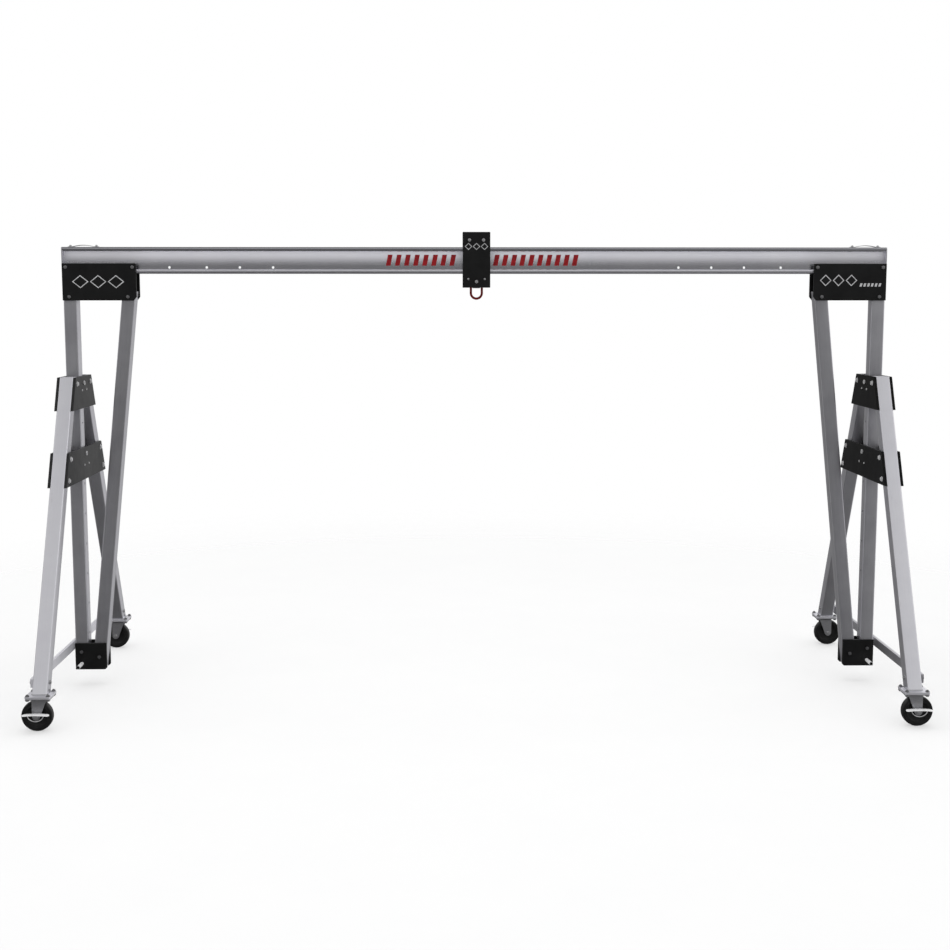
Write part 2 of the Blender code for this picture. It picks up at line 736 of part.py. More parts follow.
def make_wheel(tag, middle, side, material, parent):
    bm = bmesh.new()
    bore = AXLE_RADIUS + RUNNING_GAP
    half = [
        (HUB_HALF, bore),
        (HUB_HALF, 0.019),
        (0.014, 0.022),
        (0.014, 0.054),
        (0.021, 0.058),
        (WHEEL_HALF, 0.073),
        (0.014, WHEEL_RADIUS),
    ]
    profile = [(-along, radius) for along, radius in half] + list(reversed(half))
    add_ring(bm, "Y", (0, 0), profile, 24)
    location = (middle[0] + side * CASTER_TRAIL, middle[1], WHEEL_RADIUS)
    make_part(f"wheel_{tag}", bm, material, location, parent)


def make_pedal(tag, middle, side, face, material, parent):
    """Foot brake: an arched blade on two arms across the wheel's side, with a round loop below it."""
    steps = 6
    stations = [PEDAL_HALF * (2 * index / steps - 1) for index in range(steps + 1)]
    top = [(x, PEDAL_CROWN - 0.004 * (x / PEDAL_HALF) ** 2) for x in stations]
    outline = top + [(x, z - STRAP) for x, z in reversed(top)]
    near_ring = [Vector((x, face * PEDAL_NEAR, z)) for x, z in outline]
    far_ring = [Vector((x, face * PEDAL_FAR, z - PEDAL_TILT)) for x, z in outline]
    bm = bmesh.new()
    skin(bm, [near_ring, far_ring])
    location = Vector((middle[0], middle[1], 0)) + pedal_pivot(side, face)
    pedal = make_part(f"brake_pedal_{tag}", bm, material, location, parent)
    arms = bmesh.new()
    arm = ((-0.004, -0.004), (0.016, 0.0030), (0.016, 0.0060), (-0.004, 0.004))
    arm = [(face * y, z) for y, z in arm]
    for x in (-PEDAL_ARM, PEDAL_ARM):
        add_prism(arms, "X", arm, x - PEDAL_EAR / 2, x + PEDAL_EAR / 2)
    path = []
    loop_y = face * 0.029
    for index in range(9):
        angle = math.pi * index / 8
        drop = TOE_LOOP_DROP * math.sin(angle)
        path.append(Vector((TOE_LOOP_HALF * math.cos(angle), loop_y, STRAP - drop)))
    add_sweep(arms, path, 0.0025, 6)
    shape_with(pedal, "UNION", arms)
    rod = bmesh.new()
    add_bore(rod, "X", (0, 0), 0.0, PEDAL_ROD_HALF, PEDAL_ROD, 8)
    shape_with(pedal, "UNION", rod)


# ---------------------------------------------------------------- trolley


def make_trolley_plates(material, parent):
    half = TROLLEY_WIDTH / 2
    outline = ((-half, TROLLEY_BOTTOM), (half, TROLLEY_BOTTOM), (half, TROLLEY_TOP), (-half, TROLLEY_TOP))
    for face_name, face in FACES:
        bm = bmesh.new()
        near = face * TROLLEY_INNER_Y
        far = face * (TROLLEY_INNER_Y + TROLLEY_PLATE)
        add_prism(bm, "Y", outline, near, far)
        plate = make_part(f"trolley_plate_{face_name}", bm, material, (0, 0, 0), parent)
        cutter = bmesh.new()
        spots = [(-ROLLER_X, ROLLER_Z, ROLLER_AXLE), (ROLLER_X, ROLLER_Z, ROLLER_AXLE)]
        spots += [(-SPACER_X, SPACER_Z, SPACER_SHANK), (SPACER_X, SPACER_Z, SPACER_SHANK)]
        spots.append((0, LOAD_PIN_Z, LOAD_PIN_RADIUS))
        for x, z, radius in spots:
            add_bore(cutter, "Y", (x, z), (near + far) / 2, TROLLEY_PLATE, radius + GAP, 10)
        shape_with(plate, "DIFFERENCE", cutter)


def through_bolt(name, x, z, radii, material, parent):
    """A bolt across both trolley plates: head in front, nut behind and, if asked, a spacer sleeve."""
    shank, head, sleeve = radii
    outer = TROLLEY_INNER_Y + TROLLEY_PLATE + GAP
    inner = TROLLEY_INNER_Y - GAP
    stations = [(-outer - 0.008, head), (-outer, head), (-outer, shank)]
    if sleeve:
        stations += [(-inner, shank), (-inner, sleeve), (inner, sleeve), (inner, shank)]
    stations += [(outer, shank), (outer, head), (outer + 0.009, head)]
    bm = bmesh.new()
    add_turned(bm, "Y", (0, 0), stations, 10)
    make_part(name, bm, material, (x, 0, z), parent)


def make_rollers(material, parent):
    for side_name, side in SIDES:
        bm = bmesh.new()
        bore = ROLLER_AXLE + RUNNING_GAP
        edge = ROLLER_RADIUS - 0.002
        half = ROLLER_HALF
        profile = [(-half, bore), (-half, edge), (-half + 0.002, ROLLER_RADIUS)]
        profile += [(half - 0.002, ROLLER_RADIUS), (half, edge), (half, bore)]
        add_ring(bm, "Y", (0, 0), profile, 20)
        make_part(f"trolley_roller_{side_name}", bm, material, (side * ROLLER_X, 0, ROLLER_Z), parent)


def make_block(material, parent):
    """Swivel block on the load pin, with a cross bore for the shackle's pin."""
    bm = bmesh.new()
    width = BLOCK_HALF_WIDTH
    depth = BLOCK_HALF_DEPTH
    outline = ((-width, -depth), (width, -depth), (width, depth), (-width, depth))
    add_prism(bm, "Z", outline, BLOCK_LOW - LOAD_PIN_Z, BLOCK_HIGH - LOAD_PIN_Z)
    block = make_part("shackle_block", bm, material, (0, 0, LOAD_PIN_Z), parent)
    across = bmesh.new()
    add_bore(across, "Y", (0, 0), 0.0, 2 * depth, LOAD_PIN_RADIUS + RUNNING_GAP, 16)
    shape_with(block, "DIFFERENCE", across)
    along = bmesh.new()
    spot = (0, SHACKLE_PIN_Z - LOAD_PIN_Z)
    add_bore(along, "X", spot, 0.0, 2 * width, SHACKLE_PIN_RADIUS + RUNNING_GAP, 16)
    shape_with(block, "DIFFERENCE", along)


def make_shackle(material, parent):
    bm = bmesh.new()
    path = [Vector((-SHACKLE_BEND, 0, 0))]
    for index in range(10):
        angle = math.pi + math.pi * index / 9
        x = SHACKLE_BEND * math.cos(angle)
        path.append(Vector((x, 0, SHACKLE_BEND * math.sin(angle) - SHACKLE_DROP)))
    path.append(Vector((SHACKLE_BEND, 0, 0)))
    add_sweep(bm, path, SHACKLE_BAR, 8)
    shackle = make_part("shackle", bm, material, (0, 0, SHACKLE_PIN_Z), parent)
    inner = SHACKLE_BEND - SHACKLE_BAR
    outer = SHACKLE_BEND + SHACKLE_BAR
    ears = bmesh.new()
    for way in (-1, 1):
        add_turned(ears, "X", (0, 0), ((way * inner, SHACKLE_EAR), (way * outer, SHACKLE_EAR)), 12)
    shape_with(shackle, "UNION", ears)
    pin = bmesh.new()
    stations = (
        (-outer - 0.006, SHACKLE_PIN_HEAD),
        (-outer + 0.002, SHACKLE_PIN_HEAD),
        (-outer + 0.002, SHACKLE_PIN_RADIUS),
        (outer - 0.002, SHACKLE_PIN_RADIUS),
        (outer - 0.002, SHACKLE_PIN_HEAD),
        (outer + 0.006, SHACKLE_PIN_HEAD),
    )
    add_turned(pin, "X", (0, 0), stations, 12, 0.5)
    shape_with(shackle, "UNION", pin)


# ---------------------------------------------------------------- assembly


def make_lifted_half(aluminium, black, bright):
    make_beam(aluminium)
    for side_name, side in SIDES:
        make_handle(side_name, side, bright)
        make_end_plates(side_name, side, black)
        make_post(side_name, side, aluminium)
        make_brace(side_name, side, aluminium)
        make_foot_plates(side_name, side, black)
        make_lifting_bar(side_name, side, bright)


def make_frame(side_name, side, aluminium, black, bright, wheel_black):
    frame = make_mount(f"a_frame_{side_name}", (0, 0, 0))
    make_guides(side_name, side, "upper", black, frame)
    make_guides(side_name, side, "lower", black, frame)
    make_lock_pin(side_name, side, bright, frame)
    make_tie_bar(side_name, side, aluminium, frame)
    for face_name, face in FACES:
        make_leg(side_name, side, face_name, face, aluminium, frame)
        tag = f"{side_name}_{face_name}"
        middle = (side * POST_X, face * CASTER_Y)
        make_caster_plate(tag, middle, bright, frame)
        make_fork(tag, middle, side, face, bright, frame)
        make_wheel(tag, middle, side, wheel_black, frame)
        make_pedal(tag, middle, side, face, bright, frame)


def make_trolley(black, bright, wheel_black, red):
    trolley = make_mount("trolley", (0, 0, 0))
    make_trolley_plates(black, trolley)
    make_rollers(wheel_black, trolley)
    for side_name, side in SIDES:
        axle = f"roller_axle_{side_name}"
        radii = (ROLLER_AXLE, ROLLER_BOLT_HEAD, None)
        through_bolt(axle, side * ROLLER_X, ROLLER_Z, radii, bright, trolley)
        spacer = f"spacer_bolt_{side_name}"
        radii = (SPACER_SHANK, SPACER_BOLT_HEAD, SPACER_SLEEVE)
        through_bolt(spacer, side * SPACER_X, SPACER_Z, radii, bright, trolley)
    through_bolt("load_pin", 0, LOAD_PIN_Z, (LOAD_PIN_RADIUS, LOAD_PIN_HEAD, None), bright, trolley)
    make_block(bright, trolley)
    make_shackle(red, trolley)


def main():
    clear_scene()
    aluminium = make_material("mill_aluminium", (0.56, 0.56, 0.58), 0.85, 0.42)
    black = make_material("black_powder_coat", (0.012, 0.012, 0.012), 0.0, 0.48)
    bright = make_material("zinc_plated_steel", (0.60, 0.60, 0.62), 0.95, 0.32)
    wheel_black = make_material("black_wheel", (0.015, 0.015, 0.015), 0.0, 0.55)
    red = make_material("red_painted_steel", (0.25, 0.006, 0.006), 0.1, 0.40)
    make_lifted_half(aluminium, black, bright)
    for side_name, side in SIDES:
        make_frame(side_name, side, aluminium, black, bright, wheel_black)
    make_trolley(black, bright, wheel_black, red)


main()
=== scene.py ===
"""Visual model of the portable gantry crane, in metres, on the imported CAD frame.

X runs along the beam, -Y is the front and +Z is up. Left is -X and right is +X.
"""

import json
import math

import bmesh
import bpy
from mathutils import Matrix, Vector


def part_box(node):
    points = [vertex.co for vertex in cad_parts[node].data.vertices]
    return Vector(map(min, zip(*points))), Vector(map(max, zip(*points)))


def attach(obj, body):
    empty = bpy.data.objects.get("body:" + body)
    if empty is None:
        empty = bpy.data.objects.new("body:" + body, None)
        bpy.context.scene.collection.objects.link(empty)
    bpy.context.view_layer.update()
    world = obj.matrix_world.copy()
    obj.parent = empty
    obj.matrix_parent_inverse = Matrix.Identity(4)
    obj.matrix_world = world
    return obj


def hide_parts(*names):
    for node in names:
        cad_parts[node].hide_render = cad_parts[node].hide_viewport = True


SIDES = (("left", -1), ("right", 1))
FACES = (("front", -1), ("rear", 1))
GAP = 0.0003

# Beam section and its bolts
FLANGE_THICKNESS = 0.013
LIP_WIDTH = 0.014
LIP_HEIGHT = 0.024
WEB_THICKNESS = 0.009
BOLT_ROW_RISE = 0.035
SPARE_HOLE_X = (1.128, 1.312, 1.495, 1.701)
SPARE_HOLE_RADIUS = 0.007
PLATE = 0.0127
PLATE_CORNER = 0.003
PLATE_EDGE = 0.001
PLATE_BOLT = 0.0105
LEG_BOLT = 0.011
END_CAP = 0.007
CAP_INSET = 0.00005

# Lifted half
BRACE_TOP_X = 1.9201
BRACE_SLOPE = 0.1094
TUBE_WALL = 0.005
TUBE_CORNER = 0.008
TUBE_EDGE = 0.0004
HEIGHT_HOLE_RADIUS = 0.0065
HEIGHT_HOLE_LOW_Z = 0.305
HEIGHT_HOLE_PITCH = 0.1715
HEIGHT_HOLES = 8
END_BOLT_LOW_Z = 2.206
FOOT_BOLT_Z = (0.2025, 0.173)
HANDLE_BOLT = 0.0715
HANDLE_HALF = 0.086
HANDLE_ARCH_HALF = 0.062
HANDLE_RISE = 0.0085
STRAP = 0.003

# A-frames; a guide level is (name, lock pin's Z, drop to its rods and screws, leg bolts' Z)
LEG_SIDE = 0.0765
LEG_SLOPE = 0.4662
LEG_APEX_Y = 0.9521
LEG_FOOT_Z = 0.192
FOOT_SQUARE = 0.13
FOOT_THICKNESS = 0.012
CASTER_BOLT = 0.0525
GUIDE_LEVELS = (("upper", 1.729, 0.038, (1.731,)), ("lower", 1.334, 0.0605, (1.3355, 1.2245)))
GUIDE_ROD_Y = 0.0475
GUIDE_ROD_RADIUS = 0.0092
LOCK_BORE = 0.008
TIE_BAR = 0.016

# Casters
CASTER_PLATE = 0.0055
WHEEL_RADIUS = 0.08
CASTER_TRAIL = 0.018
FORK_INNER = 0.0278
FORK_PLATE = 0.005
CROWN = (0.1625, 0.1692)
PEDAL_X = 0.01
PEDAL_OFFSET = 0.0085
PEDAL_Z = 0.097
PEDAL_LUG = 0.0165
PEDAL_ARM = 0.0115
PEDAL_EAR = 0.004
PEDAL_EYE = 0.007
PEDAL_ROD_HALF = 0.022
PEDAL_HALF = 0.0685
TOE_LOOP_HALF = 0.041
TOE_LOOP_DROP = 0.034

# Trolley
SHACKLE_PIN_Z = 2.266
SHACKLE_BAR = 0.0065
SHACKLE_BEND = 0.0305
SHACKLE_DROP = 0.039

# Camera, with its tilt up from straight down and its turn about Z in degrees, and the lamp
CAMERA_PLACE = (-0.1645, -7.9899, 2.1928)
CAMERA_TILT = 82.95
CAMERA_TURN = -1.126
LENS = 53.853
LAMP_PLACE = (0, -0.5, 7.5)
LAMP_SIZE = (9.0, 6.0)
LAMP_POWER = 170.0

# Steps in what metal mirrors, as (axis, from, to along a direction, brightness from, to)
STUDIO_STEPS = (
    ("Z", 0.06, 0.42, 0.12, 0.63),
    ("Z", 0.7, 0.91, 0.0, -0.48),
    ("Z", -0.1, -0.6, 0.0, -0.05),
    ("X", 0.5, 0.98, 0.0, 0.34),
    ("X", -0.55, -0.98, 0.0, 0.16),
)

# Most of a noise's values lie in this range
NOISE_RANGE = (0.3, 0.7)

# Bolt heads, with four points on each flat of the hexagon
HEAD_POINTS = 24
HEAD_SUNK = 0.001
HEAD_EASE = 0.0004
WASHER = 0.0016
THREAD_PITCH = 0.001

# Painted marks; the web's bars fill two stretches in X, spaced evenly at about the pitch
MARK_THICKNESS = 0.0004
WEB_MARKS = ((-0.503, -0.1), (0.092, 0.58))
WEB_MARK_PITCH = 0.051

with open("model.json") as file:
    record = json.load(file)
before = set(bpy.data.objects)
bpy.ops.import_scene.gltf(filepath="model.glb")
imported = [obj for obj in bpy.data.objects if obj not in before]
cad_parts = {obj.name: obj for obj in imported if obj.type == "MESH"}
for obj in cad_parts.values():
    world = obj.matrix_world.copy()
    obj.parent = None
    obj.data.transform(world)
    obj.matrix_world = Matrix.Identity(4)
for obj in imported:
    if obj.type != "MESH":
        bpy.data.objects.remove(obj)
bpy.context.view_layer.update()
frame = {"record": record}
BODY_OF = {n: body for body, nodes in frame["record"]["behaviour"]["bodies"].items() for n in nodes}
BEAM_LOW, BEAM_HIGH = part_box("beam")
POST_LOW, POST_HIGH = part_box("post_right")
POST_X = (POST_LOW.x + POST_HIGH.x) / 2
POST_SIDE = POST_HIGH.y - POST_LOW.y
PLATE_INNER = BEAM_HIGH.y + GAP
PLATE_OUTER = PLATE_INNER + PLATE
BRACE_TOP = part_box("knee_brace_right")[1].z
BOLT_ROW_Z = BEAM_LOW.z + BOLT_ROW_RISE
END_PLATE_LOW, END_PLATE_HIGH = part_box("end_plate_right_front")
END_BOLTS_X = (END_PLATE_HIGH.x - 0.0215, END_PLATE_LOW.x + 0.0185)
CASTER_Y = sum(corner.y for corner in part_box("caster_plate_left_rear")) / 2


# ---- node tools ----


def start_material(name):
    material = bpy.data.materials.new(name)
    material.use_nodes = True
    return material, material.node_tree, material.node_tree.nodes["Principled BSDF"]


def add_node(tree, kind, inputs=(), **settings):
    """A node with its settings; inputs holds pairs of (name or index, value or socket)."""
    node = tree.nodes.new(kind)
    for key, value in settings.items():
        setattr(node, key, value)
    for key, value in inputs:
        if isinstance(value, bpy.types.NodeSocket):
            tree.links.new(value, node.inputs[key])
        else:
            node.inputs[key].default_value = value
    return node


def noise(tree, scale, detail=4.0, roughness=0.55, stretch=(1, 1, 1)):
    """Noise over the piece's own coordinates, stretched by a scale for each axis."""
    where = add_node(tree, "ShaderNodeTexCoord").outputs["Object"]
    mapped = add_node(tree, "ShaderNodeMapping", [("Vector", where), ("Scale", stretch)])
    inputs = [("Vector", mapped.outputs[0]), ("Scale", scale), ("Detail", detail)]
    inputs.append(("Roughness", roughness))
    return add_node(tree, "ShaderNodeTexNoise", inputs).outputs["Fac"]


def remap(tree, value, low, high, out_low=0.0, out_high=1.0, kind="LINEAR"):
    inputs = [("Value", value), ("From Min", low), ("From Max", high)]
    inputs += [("To Min", out_low), ("To Max", out_high)]
    return add_node(tree, "ShaderNodeMapRange", inputs, interpolation_type=kind).outputs["Result"]


def spread(tree, value, out_low=0.0, out_high=1.0):
    """A noise's usual range of values, spread from one output to the other."""
    return remap(tree, value, *NOISE_RANGE, out_low, out_high)


def calc(tree, operation, first, second=0.0):
    return add_node(tree, "ShaderNodeMath", [(0, first), (1, second)], operation=operation).outputs[0]


def mix_colours(tree, factor, first, second):
    inputs = [(0, factor)]
    for key, value in ((6, first), (7, second)):
        inputs.append((key, value if isinstance(value, bpy.types.NodeSocket) else (*value, 1.0)))
    return add_node(tree, "ShaderNodeMix", inputs, data_type="RGBA").outputs[2]


def bump(tree, height, strength, distance):
    inputs = [("Height", height), ("Strength", strength), ("Distance", distance)]
    return add_node(tree, "ShaderNodeBump", inputs).outputs[0]


def dress(tree, shader, colour, matt, normal):
    """Joins the colour, roughness and bump that vary over a surface to its shader."""
    for name, socket in (("Base Color", colour), ("Roughness", matt), ("Normal", normal)):
        tree.links.new(socket, shader.inputs[name])


# ---- materials ----


def aluminium(name, along, light=0.87, dark=0.74, rough=(0.27, 0.36), streaks=1.0, metal=1.0, wear=1.0):
    """Mill-finish extrusion: die lines along its length, soft clouding and a few scuffs."""
    light, dark = (light, light, light * 1.045), (dark, dark * 0.99, dark * 1.06)
    material, tree, shader = start_material(name)
    stretch = [1.0, 1.0, 1.0]
    stretch["XYZ".index(along)] = 0.012
    lines = noise(tree, 420.0, 3.0, stretch=stretch)
    clouds = noise(tree, 5.0, 5.0, 0.6)
    scuffs = remap(tree, noise(tree, 38.0, 8.0, 0.75), 0.6, 0.72, 0.0, wear)
    tone = calc(tree, "MULTIPLY", spread(tree, clouds), 0.65)
    tone = calc(tree, "ADD", tone, spread(tree, lines, 0.0, 0.35 * streaks))
    colour = mix_colours(tree, tone, dark, light)
    colour = mix_colours(tree, calc(tree, "MULTIPLY", scuffs, 0.22), colour, (0.5, 0.5, 0.53))
    shader.inputs["Metallic"].default_value = metal
    matt = calc(tree, "ADD", spread(tree, lines, *rough), calc(tree, "MULTIPLY", scuffs, 0.16))
    matt = calc(tree, "ADD", matt, spread(tree, clouds, 0.0, 0.06 * wear))
    dress(tree, shader, colour, matt, bump(tree, lines, 0.1 * streaks, 0.0004))
    return material


def beam_finish():
    """The beam's finish: bare metal low on the web, turning pale and matt towards the top flange as
    painted light, and a darker grey over the top flange as painted shade.
    """
    material = aluminium("beam_mill_aluminium_painted_light", "X", 0.94, 0.88, (0.18, 0.24), 0.3, wear=0.25)
    tree = material.node_tree
    shader = tree.nodes["Principled BSDF"]
    where = add_node(tree, "ShaderNodeTexCoord").outputs["Object"]
    split = add_node(tree, "ShaderNodeSeparateXYZ", [(0, where)])
    height = split.outputs["Z"]
    off_web = calc(tree, "GREATER_THAN", calc(tree, "ABSOLUTE", split.outputs["Y"]), WEB_THICKNESS)
    on_top = calc(tree, "GREATER_THAN", height, BEAM_HIGH.z - FLANGE_THICKNESS)
    off_web = calc(tree, "MAXIMUM", off_web, on_top)
    # Painted light: on the web the metal falls from full low down to a tenth towards the top, so the web
    # reads paler at the top and darker below; on the lips the metal dips to nine tenths over the lower
    # lip's upper part, painting it a paler band.
    web = remap(tree, height, BEAM_LOW.z + 0.038, BEAM_LOW.z + 0.124, 1.0, 0.1, "SMOOTHSTEP")
    lip = remap(tree, height, BEAM_LOW.z + 0.006, BEAM_LOW.z + 0.01, 1.0, 0.9, "SMOOTHSTEP")
    lip = calc(tree, "ADD", lip, remap(tree, height, BEAM_LOW.z + 0.02, BEAM_LOW.z + 0.03, 0.0, 0.1))
    painted_light_metallic = add_node(tree, "ShaderNodeMix", [(0, off_web), (2, web), (3, lip)]).outputs[0]
    tree.links.new(painted_light_metallic, shader.inputs["Metallic"])
    base = shader.inputs["Base Color"].links[0].from_socket
    # Painted shade: the top flange's colour is mixed towards dark grey.
    grey = remap(tree, height, BEAM_HIGH.z - 0.024, BEAM_HIGH.z - 0.014, 0.0, 0.75, "SMOOTHSTEP")
    tree.links.new(mix_colours(tree, grey, base, (0.4, 0.4, 0.43)), shader.inputs["Base Color"])
    return material


def black_coat(name="black_powder_coat", tone=0.0032, rough=(0.4, 0.54), shine=0.3):
    """Powder coat: a fine orange peel, dusty clouds and slight rub marks."""
    material, tree, shader = start_material(name)
    peel = noise(tree, 650.0, 2.0)
    dust = noise(tree, 9.0, 6.0, 0.65)
    rubs = remap(tree, noise(tree, 60.0, 8.0, 0.8, (1, 0.25, 1)), 0.62, 0.74)
    pale = (tone * 2.0, tone * 2.0, tone * 2.1)
    colour = mix_colours(tree, remap(tree, dust, 0.35, 0.7), (tone, tone, tone * 1.05), pale)
    colour = mix_colours(tree, calc(tree, "MULTIPLY", rubs, 0.3), colour, (0.03, 0.03, 0.031))
    shader.inputs["Specular IOR Level"].default_value = shine
    dress(tree, shader, colour, spread(tree, dust, *rough), bump(tree, peel, 0.22, 0.0003))
    return material


def steel(name, colour, rough, grain=300.0, spots=0.25, stretch=(1, 1, 1), metal=1.0):
    """Plated or turned steel: cool grey with a faint warm bloom and fine grain."""
    material, tree, shader = start_material(name)
    bloom = noise(tree, 45.0, 5.0, 0.6)
    fine = noise(tree, grain, 3.0, stretch=stretch)
    warm = tuple(c * k for c, k in zip(colour, (0.86, 0.8, 0.7)))
    tint = mix_colours(tree, calc(tree, "MULTIPLY", remap(tree, bloom, 0.45, 0.75), spots), colour, warm)
    deep = tuple(c * 0.72 for c in colour)
    colour = mix_colours(tree, remap(tree, fine, 0.35, 0.75, 0.0, 0.5), tint, deep)
    shader.inputs["Metallic"].default_value = metal
    matt = spread(tree, bloom, rough - 0.05, rough + 0.08)
    dress(tree, shader, colour, matt, bump(tree, fine, 0.14, 0.0002))
    return material


def tyre_rubber():
    """Black rubber with a fine grain, greyer where it is scuffed."""
    material, tree, shader = start_material("tyre_black")
    grain = noise(tree, 520.0)
    scuff = noise(tree, 22.0, 7.0, 0.7)
    worn = remap(tree, scuff, 0.42, 0.72)
    colour = mix_colours(tree, worn, (0.0034, 0.0034, 0.0037), (0.009, 0.0088, 0.0085))
    shader.inputs["Specular IOR Level"].default_value = 0.42
    dress(tree, shader, colour, spread(tree, scuff, 0.3, 0.46), bump(tree, grain, 0.25, 0.0003))
    return material


def paint(name, colour, rough, chip=(0.03, 0.03, 0.03)):
    """Gloss paint with a few worn specks."""
    material, tree, shader = start_material(name)
    shader.inputs["Specular IOR Level"].default_value = 0.18
    flow = noise(tree, 70.0, 3.0)
    specks = remap(tree, noise(tree, 210.0, 6.0, 0.7), 0.66, 0.72)
    deep = tuple(c * 0.62 for c in colour)
    tint = mix_colours(tree, remap(tree, flow, 0.35, 0.7), colour, deep)
    worn = mix_colours(tree, calc(tree, "MULTIPLY", specks, 0.6), tint, chip)
    matt = spread(tree, flow, rough - 0.05, rough + 0.1)
    dress(tree, shader, worn, matt, bump(tree, flow, 0.12, 0.0004))
    return material


def floor_finish():
    """Pale matt floor that fades out to the white surround."""
    material, tree, shader = start_material("floor_pale")
    colour = mix_colours(tree, spread(tree, noise(tree, 2.2)), (0.885, 0.885, 0.89), (0.9, 0.9, 0.9))
    tree.links.new(colour, shader.inputs["Base Color"])
    shader.inputs["Roughness"].default_value = 0.9
    where = add_node(tree, "ShaderNodeTexCoord").outputs["Object"]
    reach = add_node(tree, "ShaderNodeVectorMath", [(0, where)], operation="LENGTH").outputs["Value"]
    clear = add_node(tree, "ShaderNodeBsdfTransparent").outputs[0]
    fade = remap(tree, reach, 3.2, 7.0, 0.48, 1.0, "SMOOTHSTEP")
    mixed = add_node(tree, "ShaderNodeMixShader", [(0, fade), (1, shader.outputs[0]), (2, clear)])
    tree.links.new(mixed.outputs[0], tree.nodes["Material Output"].inputs["Surface"])
    return material


MATS = {
    "beam": beam_finish(),
    "tube": aluminium("tube_mill_aluminium", "Z"),
    # Painted shade: the knee braces get a darker copy of the tubes' aluminium.
    "brace": aluminium("brace_mill_aluminium_painted_shade", "Z", 0.78, 0.66),
    # Painted light and shade: the left tie bar gets a paler, less metallic copy of the aluminium and the
    # right one a darker copy.
    "bar_left": aluminium("bar_aluminium_painted_light_left", "Y", 0.88, 0.78, (0.36, 0.44), 0.25, 0.62),
    "bar_right": aluminium("bar_aluminium_painted_shade_right", "Y", 0.66, 0.56, (0.34, 0.42), 0.25, 0.95),
    "leg_foot": aluminium("leg_foot_mill_aluminium", "X", 0.92, 0.84, (0.3, 0.38), 0.25, 0.82),
    "black": black_coat(),
    # Painted light and shade: the left frame's guide plates get a paler, shinier copy of the black coat
    # and the right frame's a darker, duller one.
    "black_left": black_coat("black_powder_coat_painted_light_left", 0.0046, (0.38, 0.5), 0.46),
    "black_right": black_coat("black_powder_coat_painted_shade_right", 0.0026, (0.44, 0.58), 0.14),
    "bolt": steel("bolt_zinc", (0.7, 0.7, 0.71), 0.4),
    "guide_bolt": steel("guide_bolt_zinc", (0.64, 0.64, 0.65), 0.34, metal=0.45),
    "plate_bolt": steel("plate_bolt_zinc", (0.36, 0.36, 0.37), 0.4),
    "foot_bolt": steel("foot_bolt_zinc", (0.26, 0.26, 0.27), 0.42),
    "pale": steel("pale_bar_steel", (0.92, 0.92, 0.93), 0.3, 260.0, 0.1, metal=0.05),
    "bright": steel("bright_steel", (0.9, 0.9, 0.91), 0.34, 260.0, 0.15),
    "caster": steel("caster_zinc", (0.6, 0.6, 0.63), 0.36, 180.0, 0.3),
    "roller": steel("roller_steel", (0.4, 0.4, 0.41), 0.34, 240.0, 0.2, (1, 0.02, 1)),
    # Painted shade: a near-black coat for the rod that fills the lifting bars' bores.
    "dark": black_coat("bore_painted_shade", 0.003, (0.6, 0.7), 0.15),
    "tyre": tyre_rubber(),
    "red": paint("shackle_red_paint", (0.14, 0.002, 0.002), 0.4),
    "mark_red": paint("mark_red_paint", (0.31, 0.008, 0.012), 0.42, (0.25, 0.04, 0.05)),
    "mark_silver": paint("mark_silver_paint", (0.52, 0.52, 0.53), 0.36, (0.2, 0.2, 0.2)),
    "weld": steel("weld_bead", (0.62, 0.62, 0.65), 0.42, 420.0, 0.4),
    "floor": floor_finish(),
}


# ---- shape tools ----


def place(axis, along, a, b):
    """A point from its distance along an axis and its two coordinates across it."""
    point = [a, b]
    point.insert("XYZ".index(axis), along)
    return Vector(point)


def circle(radius, count, centre=(0.0, 0.0)):
    points = []
    for index in range(count):
        angle = 2 * math.pi * index / count
        points.append((centre[0] + radius * math.cos(angle), centre[1] + radius * math.sin(angle)))
    return points


def hexagon(radius):
    """A hexagon with as many points as the round rings that it meets."""
    apothem = radius * math.cos(math.pi / 6)
    points = []
    for index in range(HEAD_POINTS):
        angle = 2 * math.pi * index / HEAD_POINTS
        across = apothem / math.cos((angle + math.pi / 6) % (math.pi / 3) - math.pi / 6)
        points.append((across * math.cos(angle), across * math.sin(angle)))
    return points


def arc(centre, radius, start, end, steps):
    points = []
    for index in range(steps + 1):
        angle = math.radians(start + (end - start) * index / steps)
        points.append((centre[0] + radius * math.cos(angle), centre[1] + radius * math.sin(angle)))
    return points


def rounded_rectangle(width, depth, radius, steps=6, centre=(0, 0)):
    points = []
    for quarter, (u, v) in enumerate(((1, 1), (-1, 1), (-1, -1), (1, -1))):
        corner = (u * (width / 2 - radius), v * (depth / 2 - radius))
        points += arc(corner, radius, quarter * 90, quarter * 90 + 90, steps)
    return [(centre[0] + u, centre[1] + v) for u, v in points]


def box_face(low, high, axis):
    """The outline of a box as it is seen along an axis."""
    across = [index for index in range(3) if index != "XYZ".index(axis)]
    (a, b), (c, d) = ([corner[index] for index in across] for corner in (low, high))
    return [(a, b), (c, b), (c, d), (a, d)]


def soften(outline, radius=PLATE_CORNER, steps=3):
    """Rounds each corner of an outline with a short curve."""
    points = []
    count = len(outline)
    for index, corner in enumerate(outline):
        here = Vector(corner)
        before = (Vector(outline[index - 1]) - here).normalized() * radius + here
        after = (Vector(outline[(index + 1) % count]) - here).normalized() * radius + here
        for step in range(steps + 1):
            t = step / steps
            points.append(tuple(before * (1 - t) ** 2 + here * 2 * t * (1 - t) + after * t**2))
    return points


